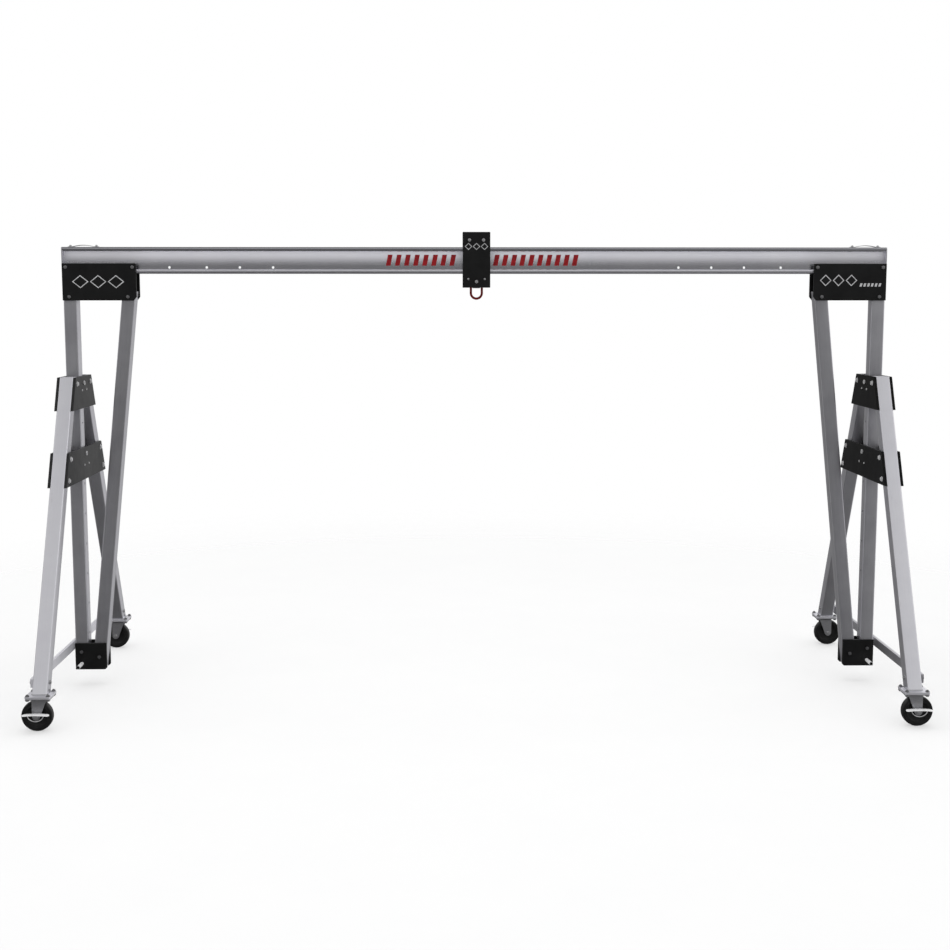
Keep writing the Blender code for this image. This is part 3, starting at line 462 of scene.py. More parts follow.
def skin(bm, rings, loop=False, material=0):
    """Quads between neighbouring rings, with flat caps unless the rings close into a loop."""
    made = [[bm.verts.new(point) for point in ring] for ring in rings]
    pairs = list(zip(made, made[1:]))
    if loop:
        pairs.append((made[-1], made[0]))
    faces = []
    for low, high in pairs:
        count = len(low)
        for index in range(count):
            after = (index + 1) % count
            faces.append(bm.faces.new((low[index], low[after], high[after], high[index])))
    if not loop:
        faces += [bm.faces.new(made[0]), bm.faces.new(made[-1])]
    for face in faces:
        face.material_index = material


def add_prism(bm, axis, outline, low, high, material=0):
    skin(bm, [[place(axis, along, a, b) for a, b in outline] for along in (low, high)], False, material)


def add_turned(bm, axis, centre, stations, count=32, material=0, loop=False):
    """A round piece: stations hold (distance along the axis, radius), closed to a ring by loop."""
    rings = []
    for along, radius in stations:
        rings.append([place(axis, along, a, b) for a, b in circle(radius, count, centre)])
    skin(bm, rings, loop, material)


def add_rod(bm, axis, centre, low, high, radius, count=24, material=0):
    """A plain round bar."""
    add_turned(bm, axis, centre, ((low, radius), (high, radius)), count, material)


def add_sweep(bm, path, radius, count=16, material=0, loop=False):
    """A round bar along a path; radius is one number or one for each point."""
    rings = []
    total = len(path)
    side = Vector((0, 1, 0))
    for index, point in enumerate(path):
        before = path[index - 1] if loop or index else path[0]
        after = path[(index + 1) % total] if loop or index < total - 1 else path[-1]
        along = (after - before).normalized()
        across = along.cross(side).normalized()
        side = across.cross(along).normalized()
        size = radius[index] if isinstance(radius, list) else radius
        rings.append([point + across * a + side * b for a, b in circle(size, count)])
    skin(bm, rings, loop, material)


def add_tube(bm, low, high, size, wall, corner):
    """A square tube with level cut ends; its two end centres may be offset, as on a raked leg."""
    outside = rounded_rectangle(size[0], size[1], corner)
    inside = rounded_rectangle(size[0] - 2 * wall[0], size[1] - 2 * wall[1], corner - wall[0] + 0.001)
    rings = []
    for outline, ends in ((outside, (low, high)), (inside, (high, low))):
        for end in ends:
            rings.append([Vector(end) + Vector((u, v, 0)) for u, v in outline])
    skin(bm, rings, loop=True)


def add_fastener(bm, spot, normal, radius, height, washer=1.32, stub=0.0, material=0):
    """A bolt head or nut on its washer, or on none where washer, the washer's share of radius, is 0.

    spot is on the surface below it, normal points out, and stub is the thread that shows past a nut.
    """
    turn = Vector(normal).to_track_quat("Z", "Y").to_matrix()

    def ring(along, outline):
        return [Vector(spot) + turn @ Vector((a, b, along)) for a, b in outline]

    def round_rings(stations):
        return [ring(along, circle(size, HEAD_POINTS)) for along, size in stations]

    thick = WASHER if washer else 0.0
    if washer:
        rim = radius * washer
        stations = ((-HEAD_SUNK, rim), (thick - HEAD_EASE, rim), (thick, rim - HEAD_EASE))
        skin(bm, round_rings(stations), False, material)
    flats = hexagon(radius)
    base = thick - 0.0002 if washer else -HEAD_SUNK
    rings = [ring(base, [(a * 0.97, b * 0.97) for a, b in flats]), ring(thick + HEAD_EASE, flats)]
    rings.append(ring(height - 0.0014, flats))
    rings += round_rings([(height - 0.0002, radius * 0.83), (height, radius * 0.72)])
    skin(bm, rings, False, material)
    if stub:
        shank = radius * 0.56
        stations = [(height - 0.001, shank)]
        for index in range(int(stub / THREAD_PITCH)):
            start = height + index * THREAD_PITCH
            stations += [(start, shank * 0.9), (start + THREAD_PITCH / 2, shank)]
        stations.append((height + stub, shank * 0.82))
        skin(bm, round_rings(stations), False, material)


def add_weld(bm, path, radius):
    """A rippled bead along a closed path."""
    sizes = [radius * (1.0 + 0.16 * math.cos(index * 1.9)) for index in range(len(path))]
    add_sweep(bm, path, sizes, 8, loop=True)


def dense(outline, spacing):
    """The outline's points with more between them, at an even spacing."""
    points = []
    for index, start in enumerate(outline):
        first, second = Vector(start), Vector(outline[(index + 1) % len(outline)])
        steps = max(1, round((second - first).length / spacing))
        points += [first.lerp(second, step / steps) for step in range(steps)]
    return points


def to_mesh(bm, name, materials):
    bmesh.ops.recalc_face_normals(bm, faces=bm.faces[:])
    mesh = bpy.data.meshes.new(name)
    bm.to_mesh(mesh)
    bm.free()
    for material in materials:
        mesh.materials.append(MATS[material])
    mesh.shade_smooth()
    mesh.set_sharp_from_angle(angle=math.radians(34))
    return mesh


def add_object(name, data):
    made = bpy.data.objects.new(name, data)
    bpy.context.scene.collection.objects.link(made)
    return made


def piece(name, bm, materials, node=None, body=None, *, cutter=None, bevel=0.0, local=None):
    """One visible piece: cut, bevelled, and riding on a body, by default its node's own."""
    made = add_object(name, to_mesh(bm, name, materials))
    tool = None
    if cutter is not None:
        tool = add_object(name + "_cutter", to_mesh(cutter, name + "_cutter", [materials[0]]))
        modifier = made.modifiers.new("Holes", "BOOLEAN")
        modifier.operation = "DIFFERENCE"
        modifier.object = tool
    if bevel:
        modifier = made.modifiers.new("Edges", "BEVEL")
        modifier.width = bevel
        modifier.segments = 2
        modifier.limit_method = "ANGLE"
        modifier.angle_limit = math.radians(42)
        modifier.use_clamp_overlap = False
        modifier.harden_normals = True
    if made.modifiers:
        graph = bpy.context.evaluated_depsgraph_get()
        made.data = bpy.data.meshes.new_from_object(made.evaluated_get(graph), depsgraph=graph)
        made.modifiers.clear()
    if tool:
        bpy.data.objects.remove(tool)
    if local is not None:
        made.data.transform(local.inverted())
        made.matrix_world = local
    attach(made, body or BODY_OF[node])
    if node:
        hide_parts(node)
    return made


# ---- lifted half ----


def brace_x(height):
    """Middle of the knee brace at a height, on the right-hand side."""
    return BRACE_TOP_X + BRACE_SLOPE * (BRACE_TOP - height)


def beam_outline():
    """I-section with full round lips along the flange edges, as (Y, Z)."""
    half = BEAM_HIGH.y
    web = WEB_THICKNESS / 2
    mid = (BEAM_HIGH.z + BEAM_LOW.z) / 2
    reach = (BEAM_HIGH.z - BEAM_LOW.z) / 2
    lip = LIP_WIDTH / 2
    top_round = 0.01
    quarter = [(web, 0.0)]
    quarter += arc((web + 0.006, reach - FLANGE_THICKNESS - 0.006), 0.006, 180, 90, 6)
    quarter += arc((half - LIP_WIDTH - 0.003, reach - FLANGE_THICKNESS - 0.003), 0.003, 90, 0, 4)
    quarter += arc((half - lip, reach - LIP_HEIGHT + lip), lip, 180, 360, 14)
    quarter += arc((half - top_round, reach - top_round), top_round, 0, 90, 8)
    outline = [(y, mid + z) for y, z in quarter]
    outline += [(-y, mid + z) for y, z in reversed(quarter)]
    outline += [(-y, mid - z) for y, z in quarter[1:]]
    outline += [(y, mid - z) for y, z in reversed(quarter[1:])]
    return outline


def make_beam():
    bm = bmesh.new()
    inset = END_CAP / 2
    add_prism(bm, "X", beam_outline(), BEAM_LOW.x + inset, BEAM_HIGH.x - inset)
    holes = bmesh.new()
    for _, side in SIDES:
        for x in SPARE_HOLE_X:
            add_rod(holes, "Y", (side * x, BOLT_ROW_Z), -0.02, 0.02, SPARE_HOLE_RADIUS)
    piece("beam_section", bm, ["beam"], "beam", cutter=holes, bevel=0.0005)
    caps = bmesh.new()
    width, depth = BEAM_HIGH.yz - BEAM_LOW.yz - Vector((2 * CAP_INSET, 2 * CAP_INSET))
    middle = (BEAM_HIGH.z + BEAM_LOW.z) / 2
    outline = rounded_rectangle(width, depth, 0.0099, 8, (0, middle))
    for _, side in SIDES:
        add_prism(caps, "X", outline, side * (BEAM_HIGH.x - END_CAP), side * (BEAM_HIGH.x - CAP_INSET))
    piece("beam_end_caps", caps, ["tube"], body=BODY_OF["beam"], bevel=0.0006)


def plate_outline(node, corner, side):
    """A bracket plate as (X, Z) with its inner lower corner cut off."""
    low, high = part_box(node)
    outer, inner = (high.x, low.x) if side > 0 else (low.x, high.x)
    outline = [(outer, low.z), (outer, high.z), (inner, high.z), (inner, low.z + corner[1])]
    return soften(outline + [(inner + side * corner[0], low.z)])


def make_bracket_plates(side_name, side):
    for kind, corner in (("end", (0.016, 0.02)), ("foot", (0.01, 0.01))):
        for face_name, face in FACES:
            node = f"{kind}_plate_{side_name}_{face_name}"
            bm = bmesh.new()
            add_prism(bm, "Y", plate_outline(node, corner, side), face * PLATE_INNER, face * PLATE_OUTER)
            piece(f"{node}_panel", bm, ["black"], node, bevel=PLATE_EDGE)


def make_lifted_fasteners():
    """Heads in front, nuts with a bolt's end behind, and the long bolts across the web."""
    bm = bmesh.new()
    for _, side in SIDES:
        ends = [(side * POST_X, END_BOLT_LOW_Z), (side * brace_x(END_BOLT_LOW_Z), END_BOLT_LOW_Z)]
        ends += [(side * x, BOLT_ROW_Z) for x in END_BOLTS_X]
        feet = [(side * POST_X, FOOT_BOLT_Z[0]), (side * brace_x(FOOT_BOLT_Z[1]), FOOT_BOLT_Z[1])]
        for _, face in FACES:
            stub = 0.004 if face > 0 else 0.0
            for material, spots in ((0, ends), (1, feet)):
                for x, z in spots:
                    spot = (x, face * PLATE_OUTER, z)
                    add_fastener(bm, spot, (0, face, 0), PLATE_BOLT, 0.0078, 0, stub, material)
        for x in END_BOLTS_X:
            add_rod(bm, "Y", (side * x, BOLT_ROW_Z), -PLATE_OUTER, PLATE_OUTER, 0.006, 20)
    materials = ["plate_bolt", "foot_bolt"]
    piece("lifted_fasteners", bm, materials, body="upper_structure")


def make_post(side_name):
    """Square post; its row of height holes goes through both side walls."""
    node = f"post_{side_name}"
    low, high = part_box(node)
    middle = (low + high) / 2
    bm = bmesh.new()
    ends = (Vector((middle.x, 0, low.z)), Vector((middle.x, 0, high.z)))
    add_tube(bm, *ends, (POST_SIDE, POST_SIDE), (TUBE_WALL, TUBE_WALL), TUBE_CORNER)
    holes = bmesh.new()
    for index in range(HEIGHT_HOLES):
        spot = (0, HEIGHT_HOLE_LOW_Z + index * HEIGHT_HOLE_PITCH)
        add_rod(holes, "X", spot, middle.x - POST_SIDE, middle.x + POST_SIDE, HEIGHT_HOLE_RADIUS, 20)
    piece(f"{node}_tube", bm, ["tube"], node, cutter=holes, bevel=TUBE_EDGE)


def make_brace(side_name, side):
    node = f"knee_brace_{side_name}"
    low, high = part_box(node)
    slant = math.cos(math.atan(BRACE_SLOPE))
    bm = bmesh.new()
    ends = (Vector((side * brace_x(low.z), 0, low.z)), Vector((side * brace_x(high.z), 0, high.z)))
    add_tube(bm, *ends, (POST_SIDE / slant, POST_SIDE), (TUBE_WALL / slant, TUBE_WALL), TUBE_CORNER)
    tilt = Matrix.Rotation(-side * math.atan(BRACE_SLOPE), 4, "Y")
    local = Matrix.Translation(ends[0]) @ tilt
    piece(f"{node}_tube", bm, ["brace"], node, bevel=TUBE_EDGE, local=local)


def make_lifting_bar(side_name):
    """A bright tube with grey, chamfered cut ends; a dark rod fills its bore as painted shade inside the
    hollow.
    """
    node = f"lifting_bar_{side_name}"
    low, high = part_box(node)
    middle = (low + high) / 2
    axis = (middle.x, middle.z)
    radius = (high.x - low.x) / 2
    bore = radius - 0.0024
    end = high.y
    cut = end - 0.0014
    bm = bmesh.new()
    tube = [(-cut, radius), (cut, radius), (cut, bore), (-cut, bore)]
    add_turned(bm, "Y", axis, tube, 28, 0, loop=True)
    for way in (-1, 1):
        ring = [(cut, bore), (cut, radius), (end, radius - 0.0012), (end, bore + 0.0005)]
        add_turned(bm, "Y", axis, [(way * along, size) for along, size in ring], 28, 1, loop=True)
    # Painted shade: a dark rod fills the bore, 2 mm short of each end, where the hollow would be in
    # shade.
    shade_rod_end = end - 0.002
    add_rod(bm, "Y", axis, -shade_rod_end, shade_rod_end, bore + 0.0002, 20, 2)
    piece(f"{node}_tube", bm, ["pale", "plate_bolt", "dark"], node)


def make_handle(side_name):
    """Arched strap with a rounded edge, held by two domed bolts."""
    node = f"carry_handle_{side_name}"
    low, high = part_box(node)
    middle = (low + high) / 2
    bm = bmesh.new()
    rings = []
    for index in range(49):
        x = HANDLE_HALF * (index / 24 - 1)
        share = min(1.0, abs(x) / HANDLE_ARCH_HALF)
        lift = HANDLE_RISE * math.cos(math.pi / 2 * share)
        end = min(1.0, (HANDLE_HALF - abs(x)) / 0.01)
        wide = (high.y - low.y) * (0.55 + 0.45 * math.sqrt(max(0.0, 1 - (1 - end) ** 2)))
        section = rounded_rectangle(wide, STRAP, 0.0012, 3)
        rings.append([Vector((middle.x + x, y, low.z + lift + STRAP / 2 + z)) for y, z in section])
    skin(bm, rings)
    dome = [(0.001, 0.0095), (0.0042, 0.0095), (0.0046, 0.009), (0.0046, 0.0074)]
    dome += [(0.0075, 0.0074), (0.0098, 0.006), (0.0114, 0.0036), (0.0119, 0.001)]
    for way in (-1, 1):
        stations = [(low.z + rise, radius) for rise, radius in dome]
        add_turned(bm, "Z", (middle.x + way * HANDLE_BOLT, 0), stations, 24, 1)
    piece(f"{node}_strap", bm, ["caster", "bolt"], node)


def add_diamonds(bm, x, pitch, z, half_width, half_height, y, line):
    """Three diamonds in a row, each a painted line of that width, on a face that looks along -Y."""
    inner = 1 - line * math.hypot(half_width, half_height) / (half_width * half_height)
    front = y - MARK_THICKNESS
    corners = ((-half_width, 0), (0, -half_height), (half_width, 0), (0, half_height))
    for index in range(3):
        here = x + index * pitch
        rings = []
        for size, depth in ((1, y), (1, front), (inner, front), (inner, y)):
            rings.append([Vector((here + u * size, depth, z + v * size)) for u, v in corners])
        skin(bm, rings, loop=True)


def add_slanted_bars(bm, count, x, pitch, z_low, z_high, width, lean, y):
    """A row of painted bars that lean to the right, on a face that looks along -Y."""
    for index in range(count):
        left = x + index * pitch
        outline = [(left, z_low), (left + width, z_low), (left + width + lean, z_high)]
        outline.append((left + lean, z_high))
        add_prism(bm, "Y", outline, y, y - MARK_THICKNESS)


def make_marks():
    """Plain shapes: diamonds and dashes in silver on the plates, slanted red bars on the web."""
    silver = bmesh.new()
    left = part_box("end_plate_left_front")[0].x
    right = END_PLATE_LOW.x
    add_diamonds(silver, left + 0.1, 0.098, 2.289, 0.045, 0.036, -PLATE_OUTER, 0.0045)
    add_diamonds(silver, right + 0.066, 0.072, 2.297, 0.032, 0.032, -PLATE_OUTER, 0.0042)
    add_slanted_bars(silver, 6, right + 0.256, 0.021, 2.263, 2.281, 0.012, 0.005, -PLATE_OUTER)
    piece("plate_marks", silver, ["mark_silver"], body="upper_structure")
    red = bmesh.new()
    for start, end in WEB_MARKS:
        count = round((end - start) / WEB_MARK_PITCH)
        pitch = (end - start) / count
        add_slanted_bars(red, count, start, pitch, 2.378, 2.438, 0.026, 0.012, -WEB_THICKNESS / 2)
    piece("web_marks", red, ["mark_red"], body="upper_structure")


# ---- A-frames ----


def leg_y(height):
    """Distance of a leg's middle line from the post's plane at a height."""
    return LEG_APEX_Y - LEG_SLOPE * height


def make_leg(side_name, side, face_name, face):
    """Raked square leg, welded to its level foot plate."""
    node = f"leg_{side_name}_{face_name}"
    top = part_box(node)[1].z
    foot = Vector((side * POST_X, face * CASTER_Y, LEG_FOOT_Z))
    slant = math.cos(math.atan(LEG_SLOPE))
    low = Vector((foot.x, face * leg_y(LEG_FOOT_Z - 0.001), LEG_FOOT_Z - 0.001))
    high = Vector((foot.x, face * leg_y(top), top))
    size = (LEG_SIDE, LEG_SIDE / slant)
    bm = bmesh.new()
    add_tube(bm, low, high, size, (TUBE_WALL, TUBE_WALL / slant), TUBE_CORNER)
    local = Matrix.Translation(low) @ Matrix.Rotation(face * math.atan(LEG_SLOPE), 4, "X")
    piece(f"{node}_tube", bm, ["tube"], node, bevel=TUBE_EDGE, local=local)
    base = bmesh.new()
    outline = rounded_rectangle(FOOT_SQUARE, FOOT_SQUARE, 0.01, centre=foot)
    add_prism(base, "Z", outline, LEG_FOOT_Z - FOOT_THICKNESS, LEG_FOOT_Z)
    piece(f"{node}_foot", base, ["leg_foot"], body=BODY_OF[node], bevel=PLATE_EDGE)
    bead = bmesh.new()
    ring = dense(rounded_rectangle(*size, TUBE_CORNER), 0.0026)
    centre = Vector((low.x, face * leg_y(LEG_FOOT_Z), LEG_FOOT_Z + 0.0006))
    add_weld(bead, [centre + Vector((p.x, p.y, 0)) for p in ring], 0.003)
    piece(f"{node}_weld", bead, ["weld"], body=BODY_OF[node])


def make_guide(side_name, side, level, lock_z, place_name, way):
    """One guide plate, flush with the legs' outer faces, with the lock pin's bore."""
    node = f"guide_plate_{level}_{side_name}_{place_name}"
    low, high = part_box(node)
    fall = (high.z - low.z) * LEG_SLOPE
    outline = [(high.y, low.z), (high.y - fall, high.z), (fall - high.y, high.z), (-high.y, low.z)]
    near = side * POST_X + way * (LEG_SIDE / 2 + GAP)
    bm = bmesh.new()
    add_prism(bm, "X", soften(outline), near, near + way * PLATE)
    bore = bmesh.new()
    add_rod(bore, "X", (0, lock_z), near - way * 0.01, near + way * 0.03, LOCK_BORE)
    # The side's own copy of the black coat: paler on the left as painted light, darker on the right as
    # painted shade.
    finish = [f"black_{side_name}"]
    piece(f"{node}_panel", bm, finish, node, cutter=bore, bevel=PLATE_EDGE)


def add_guide_fasteners(bm, side, level, lock_z, drop, bolt_zs):
    """Leg bolts, screws and lock bushings on both guide plates of a level, and the rods between them."""
    for way in (-side, side):
        near = side * POST_X + way * (LEG_SIDE / 2 + GAP)
        far = near + way * PLATE
        for _, face in FACES:
            for z in bolt_zs:
                spot = (far, face * leg_y(z), z)
                add_fastener(bm, spot, (way, 0, 0), LEG_BOLT, 0.0086, material=3)
            screw = (far, face * GUIDE_ROD_Y, lock_z - drop)
            add_fastener(bm, screw, (way, 0, 0), 0.0058, 0.0042, washer=0, material=3)
        holds_pin = level == "lower" and way == side
        depth = 0.028 if holds_pin else 0.006
        collar = [(near + way * 0.004, 0.0125), (far + way * (depth - 0.0015), 0.0125)]
        collar += [(far + way * depth, 0.011), (far + way * depth, LOCK_BORE + 0.0012)]
        collar += [(far + way * (depth - 0.0012), LOCK_BORE), (near + way * 0.004, LOCK_BORE)]
        add_turned(bm, "X", (0, lock_z), collar, 28, 3, loop=True)
    inner = side * (POST_X - LEG_SIDE / 2 - GAP - 0.001)
    outer = side * (POST_X + LEG_SIDE / 2 - 0.0002)
    for _, face in FACES:
        centre = (face * GUIDE_ROD_Y, lock_z - drop)
        add_rod(bm, "X", centre, inner, outer, GUIDE_ROD_RADIUS, material=1)


def add_leg_fasteners(bm, side_name, side, face):
    """The tie bar's bolt through a leg, and the four caster bolts with their nuts."""
    tie_z = sum(corner.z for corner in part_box(f"tie_bar_{side_name}")) / 2
    outer = side * (POST_X + LEG_SIDE / 2 + GAP + TIE_BAR)
    inner = side * (POST_X - LEG_SIDE / 2)
    for x, way, height in ((outer, side, 0.0072), (inner, -side, 0.0086)):
        add_fastener(bm, (x, face * leg_y(tie_z), tie_z), (way, 0, 0), 0.01, height)
    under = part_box(f"caster_plate_{side_name}_front")[1].z - CASTER_PLATE
    for u, v in ((-1, -1), (-1, 1), (1, -1), (1, 1)):
        spot = (side * POST_X + u * CASTER_BOLT, face * CASTER_Y + v * CASTER_BOLT)
        add_fastener(bm, (*spot, LEG_FOOT_Z), (0, 0, 1), 0.0095, 0.0074, 1.22, 0.003, 2)
        add_fastener(bm, (*spot, under), (0, 0, -1), 0.0095, 0.007, 1.22, 0.0, 2)


def make_frame_fasteners(side_name, side):
    bm = bmesh.new()
    for guide_level in GUIDE_LEVELS:
        add_guide_fasteners(bm, side, *guide_level)
    for _, face in FACES:
        add_leg_fasteners(bm, side_name, side, face)
    materials = ["bolt", "caster", "plate_bolt", "guide_bolt"]
    piece(f"frame_fasteners_{side_name}", bm, materials, body=f"{side_name}_frame")


def make_lock_pin(side_name, side):
    """Spring pin with a grooved knob."""
    node = f"lock_pin_{side_name}"
    low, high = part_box(node)
    start, end = (low.x, high.x) if side > 0 else (high.x, low.x)
    centre = (0, (low.z + high.z) / 2)
    neck = side * (POST_X + LEG_SIDE / 2 + PLATE + 0.0286)
    shank = LOCK_BORE - GAP
    bm = bmesh.new()
    stations = [(start, shank - 0.002), (start + side * 0.002, shank), (neck, shank)]
    for along, radius in ((0.0, 0.0125), (0.001, 0.0138), (0.0035, 0.015), (0.005, 0.015)):
        stations.append((neck + side * along, radius))
    for index in range(3):
        groove = neck + side * (0.0055 + 0.0024 * index)
        for along, radius in ((0.0, 0.014), (0.0008, 0.014), (0.0012, 0.015)):
            stations.append((groove + side * along, radius))
    stations += [(end - side * 0.0028, 0.0144), (end - side * 0.0008, 0.012), (end, 0.009)]
    add_turned(bm, "X", centre, stations, 36)
    piece(f"{node}_plunger", bm, ["bright"], node)


def make_tie_bar(side_name, side):
    """Flat bar across both legs; it casts no mirror image on the post beside it."""
    node = f"tie_bar_{side_name}"
    low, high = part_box(node)
    near = side * (POST_X + LEG_SIDE / 2 + GAP)
    bm = bmesh.new()
    add_prism(bm, "X", soften(box_face(low, high, "X"), 0.004), near, near + side * TIE_BAR)
    # The left tie bar takes a paler copy of the aluminium as painted light, the right one a darker copy
    # as painted shade.
    made = piece(f"{node}_flat", bm, [f"bar_{side_name}"], node, bevel=0.0008)
    made.visible_glossy = False


# ---- casters ----


def make_caster_plate(tag, middle):
    """Fixed plate with the swivel's race, a groove and a raised ball track below it."""
    node = f"caster_plate_{tag}"
    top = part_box(node)[1].z
    bottom = top - CASTER_PLATE
    bm = bmesh.new()
    side = FOOT_SQUARE - 0.003
    outline = rounded_rectangle(side, side, 0.01, centre=middle)
    add_prism(bm, "Z", outline, bottom, top)
    race_end = CROWN[1] + GAP
    stations = [(bottom + 0.001, 0.03), (bottom - 0.0006, 0.0325), (bottom - 0.0022, 0.033)]
    stations += [(race_end + 0.001, 0.033), (race_end, 0.0322)]
    add_turned(bm, "Z", (middle.x, middle.y), stations, 40)
    piece(f"{node}_top", bm, ["caster"], node, bevel=0.0006)


def pedal_hinge(middle, side, face):
    reach = FORK_INNER + FORK_PLATE + PEDAL_OFFSET
    return Vector((middle.x + side * PEDAL_X, middle.y + face * reach, PEDAL_Z))


def make_fork(tag, middle, side, face):
    """Pressed fork: a crown, two side plates round at the axle, pedal lugs and the axle bolt."""
    node = f"fork_{tag}"
    outside = FORK_INNER + FORK_PLATE
    bm = bmesh.new()
    crown = rounded_rectangle(0.076, 2 * outside, 0.006, centre=middle)
    add_prism(bm, "Z", crown, *CROWN)
    lower = arc((CASTER_TRAIL, WHEEL_RADIUS), 0.02, 200, 360, 16)
    outline = [(-0.038, CROWN[1]), *lower, (0.038, CROWN[1])]
    outline = [(middle.x + side * x, z) for x, z in outline]
    for way in (-1, 1):
        near = middle.y + way * FORK_INNER
        add_prism(bm, "Y", outline, near, near + way * FORK_PLATE)
    piece(f"{node}_legs", bm, ["caster"], node, bevel=0.0012)
    extras = bmesh.new()
    axle_x = middle.x + side * CASTER_TRAIL
    add_rod(extras, "Y", (axle_x, WHEEL_RADIUS), middle.y - outside, middle.y + outside, 0.006, 20)
    for way in (-1, 1):
        spot = (axle_x, middle.y + way * outside, WHEEL_RADIUS)
        add_fastener(extras, spot, (0, way, 0), 0.0098, 0.0078, 1.15)
    hinge = pedal_hinge(middle, side, face)
    near = middle.y + face * (outside - 0.001)
    tip = [(hinge.y + face * y, z) for y, z in arc((0, PEDAL_Z), PEDAL_EYE, 90, -90, 10)]
    outline = [(near, PEDAL_Z + PEDAL_EYE), *tip, (near, PEDAL_Z - PEDAL_EYE)]
    for way in (-1, 1):
        lug = hinge.x + way * PEDAL_LUG
        add_prism(extras, "X", outline, lug - PEDAL_EAR / 2, lug + PEDAL_EAR / 2, 1)
    nut = (middle.x, middle.y, CROWN[0])
    add_fastener(extras, nut, (0, 0, -1), 0.011, 0.0012, 1.4)
    piece(f"{node}_axle", extras, ["bolt", "caster"], body=BODY_OF[node])


def make_wheel(tag, middle, side):
    """Solid wheel: crowned tread, stepped side walls, a dished disc and a steel bearing."""
    node = f"wheel_{tag}"
    centre = (middle.x + side * CASTER_TRAIL, WHEEL_RADIUS)
    half = [(0.0262, 0.015), (0.0262, 0.0182), (0.025, 0.0195), (0.016, 0.0215), (0.014, 0.024)]
    half += [(0.014, 0.05), (0.0155, 0.0525), (0.02, 0.055), (0.0212, 0.0575), (0.0212, 0.0655)]
    half += [(0.0204, 0.0664), (0.0204, 0.0672), (0.0214, 0.0682), (0.022, 0.0715), (0.0213, 0.0745)]
    half += [(0.019, 0.0774), (0.015, 0.0792), (0.008, 0.0799), (0.0, WHEEL_RADIUS)]
    bm = bmesh.new()
    profile = [(middle.y - along, radius) for along, radius in half]
    profile += [(middle.y + along, radius) for along, radius in reversed(half[:-1])]
    add_turned(bm, "Y", centre, profile, 96, 0, loop=True)
    for way in (-1, 1):
        cap = [(0.01, 0.015), (0.0268, 0.015), (0.027, 0.0144), (0.0264, 0.011), (0.027, 0.01)]
        cap += [(0.027, 0.0066), (0.01, 0.0066)]
        stations = [(middle.y + way * along, radius) for along, radius in cap]
        add_turned(bm, "Y", centre, stations, 48, 1, loop=True)
    piece(f"{node}_tyre", bm, ["tyre", "bolt"], node)


def make_pedal(tag, middle, side, face):
    """Foot brake: an arched blade on two arms, with a round wire loop below it."""
    node = f"brake_pedal_{tag}"
    hinge = pedal_hinge(middle, side, face)
    bm = bmesh.new()
    rings = []
    for index in range(33):
        share = -1 + 2 * index / 32
        end = math.sqrt(max(0.0, 1 - max(0.0, (abs(share) - 0.84) / 0.16) ** 2))
        wide = 0.028 * (0.3 + 0.7 * end)
        z = 0.0075 - 0.004 * share**2 - STRAP / 2
        ring = []
        for y, v in rounded_rectangle(wide, STRAP, 0.0012, 3):
            fall = 0.0015 + 0.107 * y
            ring.append(hinge + Vector((PEDAL_HALF * share, face * (0.026 + y), z + v - fall)))
        rings.append(ring)
    skin(bm, rings)
    for x in (-PEDAL_ARM, PEDAL_ARM):
        outline = [(-0.004, -0.004), (0.016, 0.003), (0.016, 0.006), (-0.004, 0.004)]
        outline = [(hinge.y + face * y, hinge.z + z) for y, z in outline]
        add_prism(bm, "X", outline, hinge.x + x - PEDAL_EAR / 2, hinge.x + x + PEDAL_EAR / 2)
    path = []
    for index in range(33):
        angle = math.pi * index / 32
        drop = TOE_LOOP_DROP * math.sin(angle)
        path.append(hinge + Vector((TOE_LOOP_HALF * math.cos(angle), face * 0.029, 0.003 - drop)))
    add_sweep(bm, path, 0.0025, 12, 1)
    ends = (hinge.x - PEDAL_ROD_HALF, hinge.x + PEDAL_ROD_HALF)
    add_rod(bm, "X", (hinge.y, hinge.z), *ends, 0.003, 16)
    piece(f"{node}_blade", bm, ["pale", "bright"], node)


# ---- trolley ----


def make_trolley_plates():
    for face_name, _ in FACES:
        node = f"trolley_plate_{face_name}"
        low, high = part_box(node)
        bm = bmesh.new()
        add_prism(bm, "Y", soften(box_face(low, high, "Y")), low.y, high.y)
        piece(f"{node}_panel", bm, ["black"], node, bevel=PLATE_EDGE)
    silver = bmesh.new()
    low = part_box("trolley_plate_front")[0]
    add_diamonds(silver, low.x + 0.032, 0.0442, 2.482, 0.02, 0.019, low.y, 0.0028)
    piece("trolley_marks", silver, ["mark_silver"], body="trolley")


def make_trolley_bolts():
    """Roller axles, spacer bolts and the load pin, each with a head in front and a nut behind."""
    inner, outer = (corner.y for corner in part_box("trolley_plate_rear"))
    heads = [("load_pin", 0.0105, 0.008, None)]
    for side_name, _ in SIDES:
        heads.append((f"roller_axle_{side_name}", 0.01, 0.008, None))
        heads.append((f"spacer_bolt_{side_name}", 0.007, 0.005, 0.008))
    for node, head, shank, sleeve in heads:
        low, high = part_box(node)
        x, _, z = (low + high) / 2
        bm = bmesh.new()
        add_rod(bm, "Y", (x, z), -outer, outer, shank)
        if sleeve:
            add_rod(bm, "Y", (x, z), -inner, inner, sleeve)
        for _, face in FACES:
            add_fastener(bm, (x, face * outer, z), (0, face, 0), head, 0.0082, 0)
        piece(f"{node}_shaft", bm, ["bolt"], node)


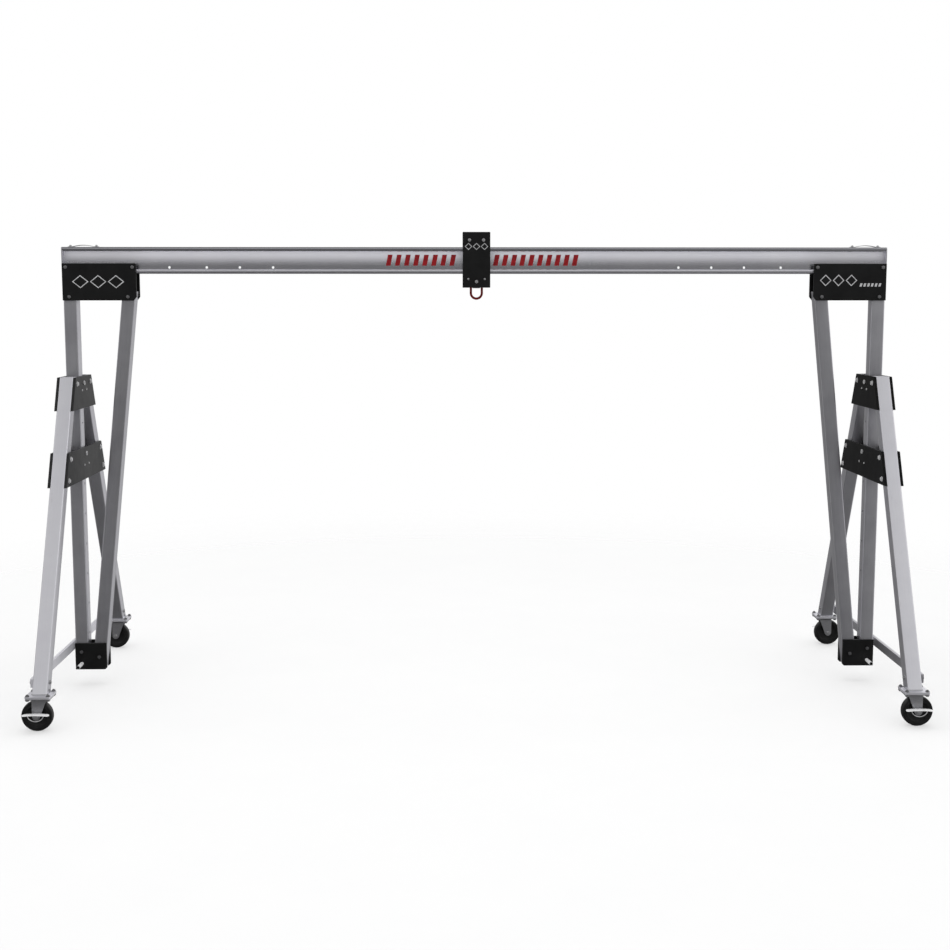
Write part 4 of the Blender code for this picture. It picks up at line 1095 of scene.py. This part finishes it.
def make_rollers():
    """Plain steel rollers with a turned face and a bearing seat at each end."""
    for side_name, _ in SIDES:
        node = f"trolley_roller_{side_name}"
        low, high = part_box(node)
        middle = (low + high) / 2
        radius = (high.z - low.z) / 2
        half = (high.y - low.y) / 2
        side = [(half - 0.001, 0.0082), (half - 0.001, 0.014), (half - 0.003, 0.015)]
        side += [(half - 0.003, 0.024), (half, 0.0255)]
        side += [(half, radius - 0.0025), (half - 0.0025, radius)]
        profile = [(-along, size) for along, size in side] + list(reversed(side))
        bm = bmesh.new()
        add_turned(bm, "Y", (middle.x, middle.z), profile, 72, 0, loop=True)
        piece(f"{node}_drum", bm, ["roller"], node)


def make_block():
    low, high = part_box("shackle_block")
    bm = bmesh.new()
    add_prism(bm, "Y", soften(box_face(low, high, "Y"), 0.006, 5), low.y, high.y)
    piece("shackle_block_body", bm, ["caster"], "shackle_block", bevel=0.002)


def make_shackle():
    """Bow of round bar with two eyes, and the pin through them."""
    bm = bmesh.new()
    pin = Vector((0, 0, SHACKLE_PIN_Z))
    path = [pin + Vector((-SHACKLE_BEND, 0, 0)), pin + Vector((-SHACKLE_BEND, 0, -SHACKLE_DROP / 2))]
    for index in range(33):
        angle = math.pi + math.pi * index / 32
        x = SHACKLE_BEND * math.cos(angle)
        path.append(pin + Vector((x, 0, SHACKLE_BEND * math.sin(angle) - SHACKLE_DROP)))
    path += [pin + Vector((SHACKLE_BEND, 0, -SHACKLE_DROP / 2)), pin + Vector((SHACKLE_BEND, 0, 0))]
    add_sweep(bm, path, SHACKLE_BAR, 20)
    inner = SHACKLE_BEND - SHACKLE_BAR
    outer = SHACKLE_BEND + SHACKLE_BAR
    for way in (-1, 1):
        eye = [(inner, 0.009), (inner + 0.0014, 0.0105), (outer - 0.0014, 0.0105), (outer, 0.009)]
        add_turned(bm, "X", (0, SHACKLE_PIN_Z), [(way * along, size) for along, size in eye], 32)
    add_rod(bm, "X", (0, SHACKLE_PIN_Z), -outer, outer, 0.0055, material=1)
    for way in (-1, 1):
        add_fastener(bm, (way * outer, 0, SHACKLE_PIN_Z), (way, 0, 0), 0.008, 0.006, 0, material=1)
    piece("shackle_bow", bm, ["red", "bolt"], "shackle")


# ---- studio ----


def make_floor():
    bm = bmesh.new()
    bmesh.ops.create_grid(bm, x_segments=8, y_segments=8, size=9.0)
    floor = add_object("floor", to_mesh(bm, "floor", ["floor"]))
    floor.location.z = -0.0005
    floor.visible_glossy = False


def make_lamp():
    """A wide soft lamp overhead, a little to the front, that looks at the middle of the floor."""
    data = bpy.data.lights.new("overhead", "AREA")
    data.shape = "RECTANGLE"
    data.size, data.size_y = LAMP_SIZE
    data.energy = LAMP_POWER
    lamp = add_object("overhead", data)
    lamp.location = LAMP_PLACE
    lamp.rotation_euler = (-Vector(LAMP_PLACE)).to_track_quat("-Z", "Y").to_euler()
    lamp.visible_camera = False
    lamp.visible_glossy = False


def make_world():
    """White surround. What metal mirrors is darker low in front, and brighter above and at the sides."""
    world = bpy.data.worlds.new("studio")
    bpy.context.scene.world = world
    world.use_nodes = True
    tree = world.node_tree
    way = add_node(tree, "ShaderNodeTexCoord").outputs["Generated"]
    split = add_node(tree, "ShaderNodeSeparateXYZ", [(0, way)])
    x, y, _ = split.outputs
    behind = remap(tree, y, 0.3, 0.9, 0.0, 1.0, "SMOOTHSTEP")
    shine = calc(tree, "MULTIPLY", behind, remap(tree, x, -0.3, 0.3, 0.03, 0.34))
    shine = calc(tree, "ADD", shine, remap(tree, x, 0.05, 0.35, 0.0, 0.045))
    for along, start, end, first, last in STUDIO_STEPS:
        step = remap(tree, split.outputs[along], start, end, first, last, "SMOOTHSTEP")
        shine = calc(tree, "ADD", shine, step)
    path = add_node(tree, "ShaderNodeLightPath").outputs
    mirrored = mix_colours(tree, path["Is Glossy Ray"], (0.93, 0.93, 0.93), shine)
    colour = mix_colours(tree, path["Is Camera Ray"], mirrored, (1.0, 1.0, 1.0))
    tree.links.new(colour, tree.nodes["Background"].inputs["Color"])


def make_camera():
    data = bpy.data.cameras.new("camera")
    data.lens = LENS
    data.sensor_width = 36.0
    camera = add_object("camera", data)
    camera.location = CAMERA_PLACE
    camera.rotation_euler = (math.radians(CAMERA_TILT), 0.0, math.radians(CAMERA_TURN))
    bpy.context.scene.camera = camera


def main():
    make_camera()
    make_world()
    make_floor()
    make_lamp()
    make_beam()
    make_marks()
    make_lifted_fasteners()
    for side_name, side in SIDES:
        make_bracket_plates(side_name, side)
        make_post(side_name)
        make_brace(side_name, side)
        make_lifting_bar(side_name)
        make_handle(side_name)
        make_frame_fasteners(side_name, side)
        make_lock_pin(side_name, side)
        make_tie_bar(side_name, side)
        for level, lock_z, _, _ in GUIDE_LEVELS:
            make_guide(side_name, side, level, lock_z, "inner", -side)
            make_guide(side_name, side, level, lock_z, "outer", side)
        for face_name, face in FACES:
            tag = f"{side_name}_{face_name}"
            middle = Vector((side * POST_X, face * CASTER_Y))
            make_leg(side_name, side, face_name, face)
            make_caster_plate(tag, middle)
            make_fork(tag, middle, side, face)
            make_wheel(tag, middle, side)
            make_pedal(tag, middle, side, face)
    make_trolley_plates()
    make_trolley_bolts()
    make_rollers()
    make_block()
    make_shackle()
    bpy.context.scene.view_settings.view_transform = "Standard"


main()
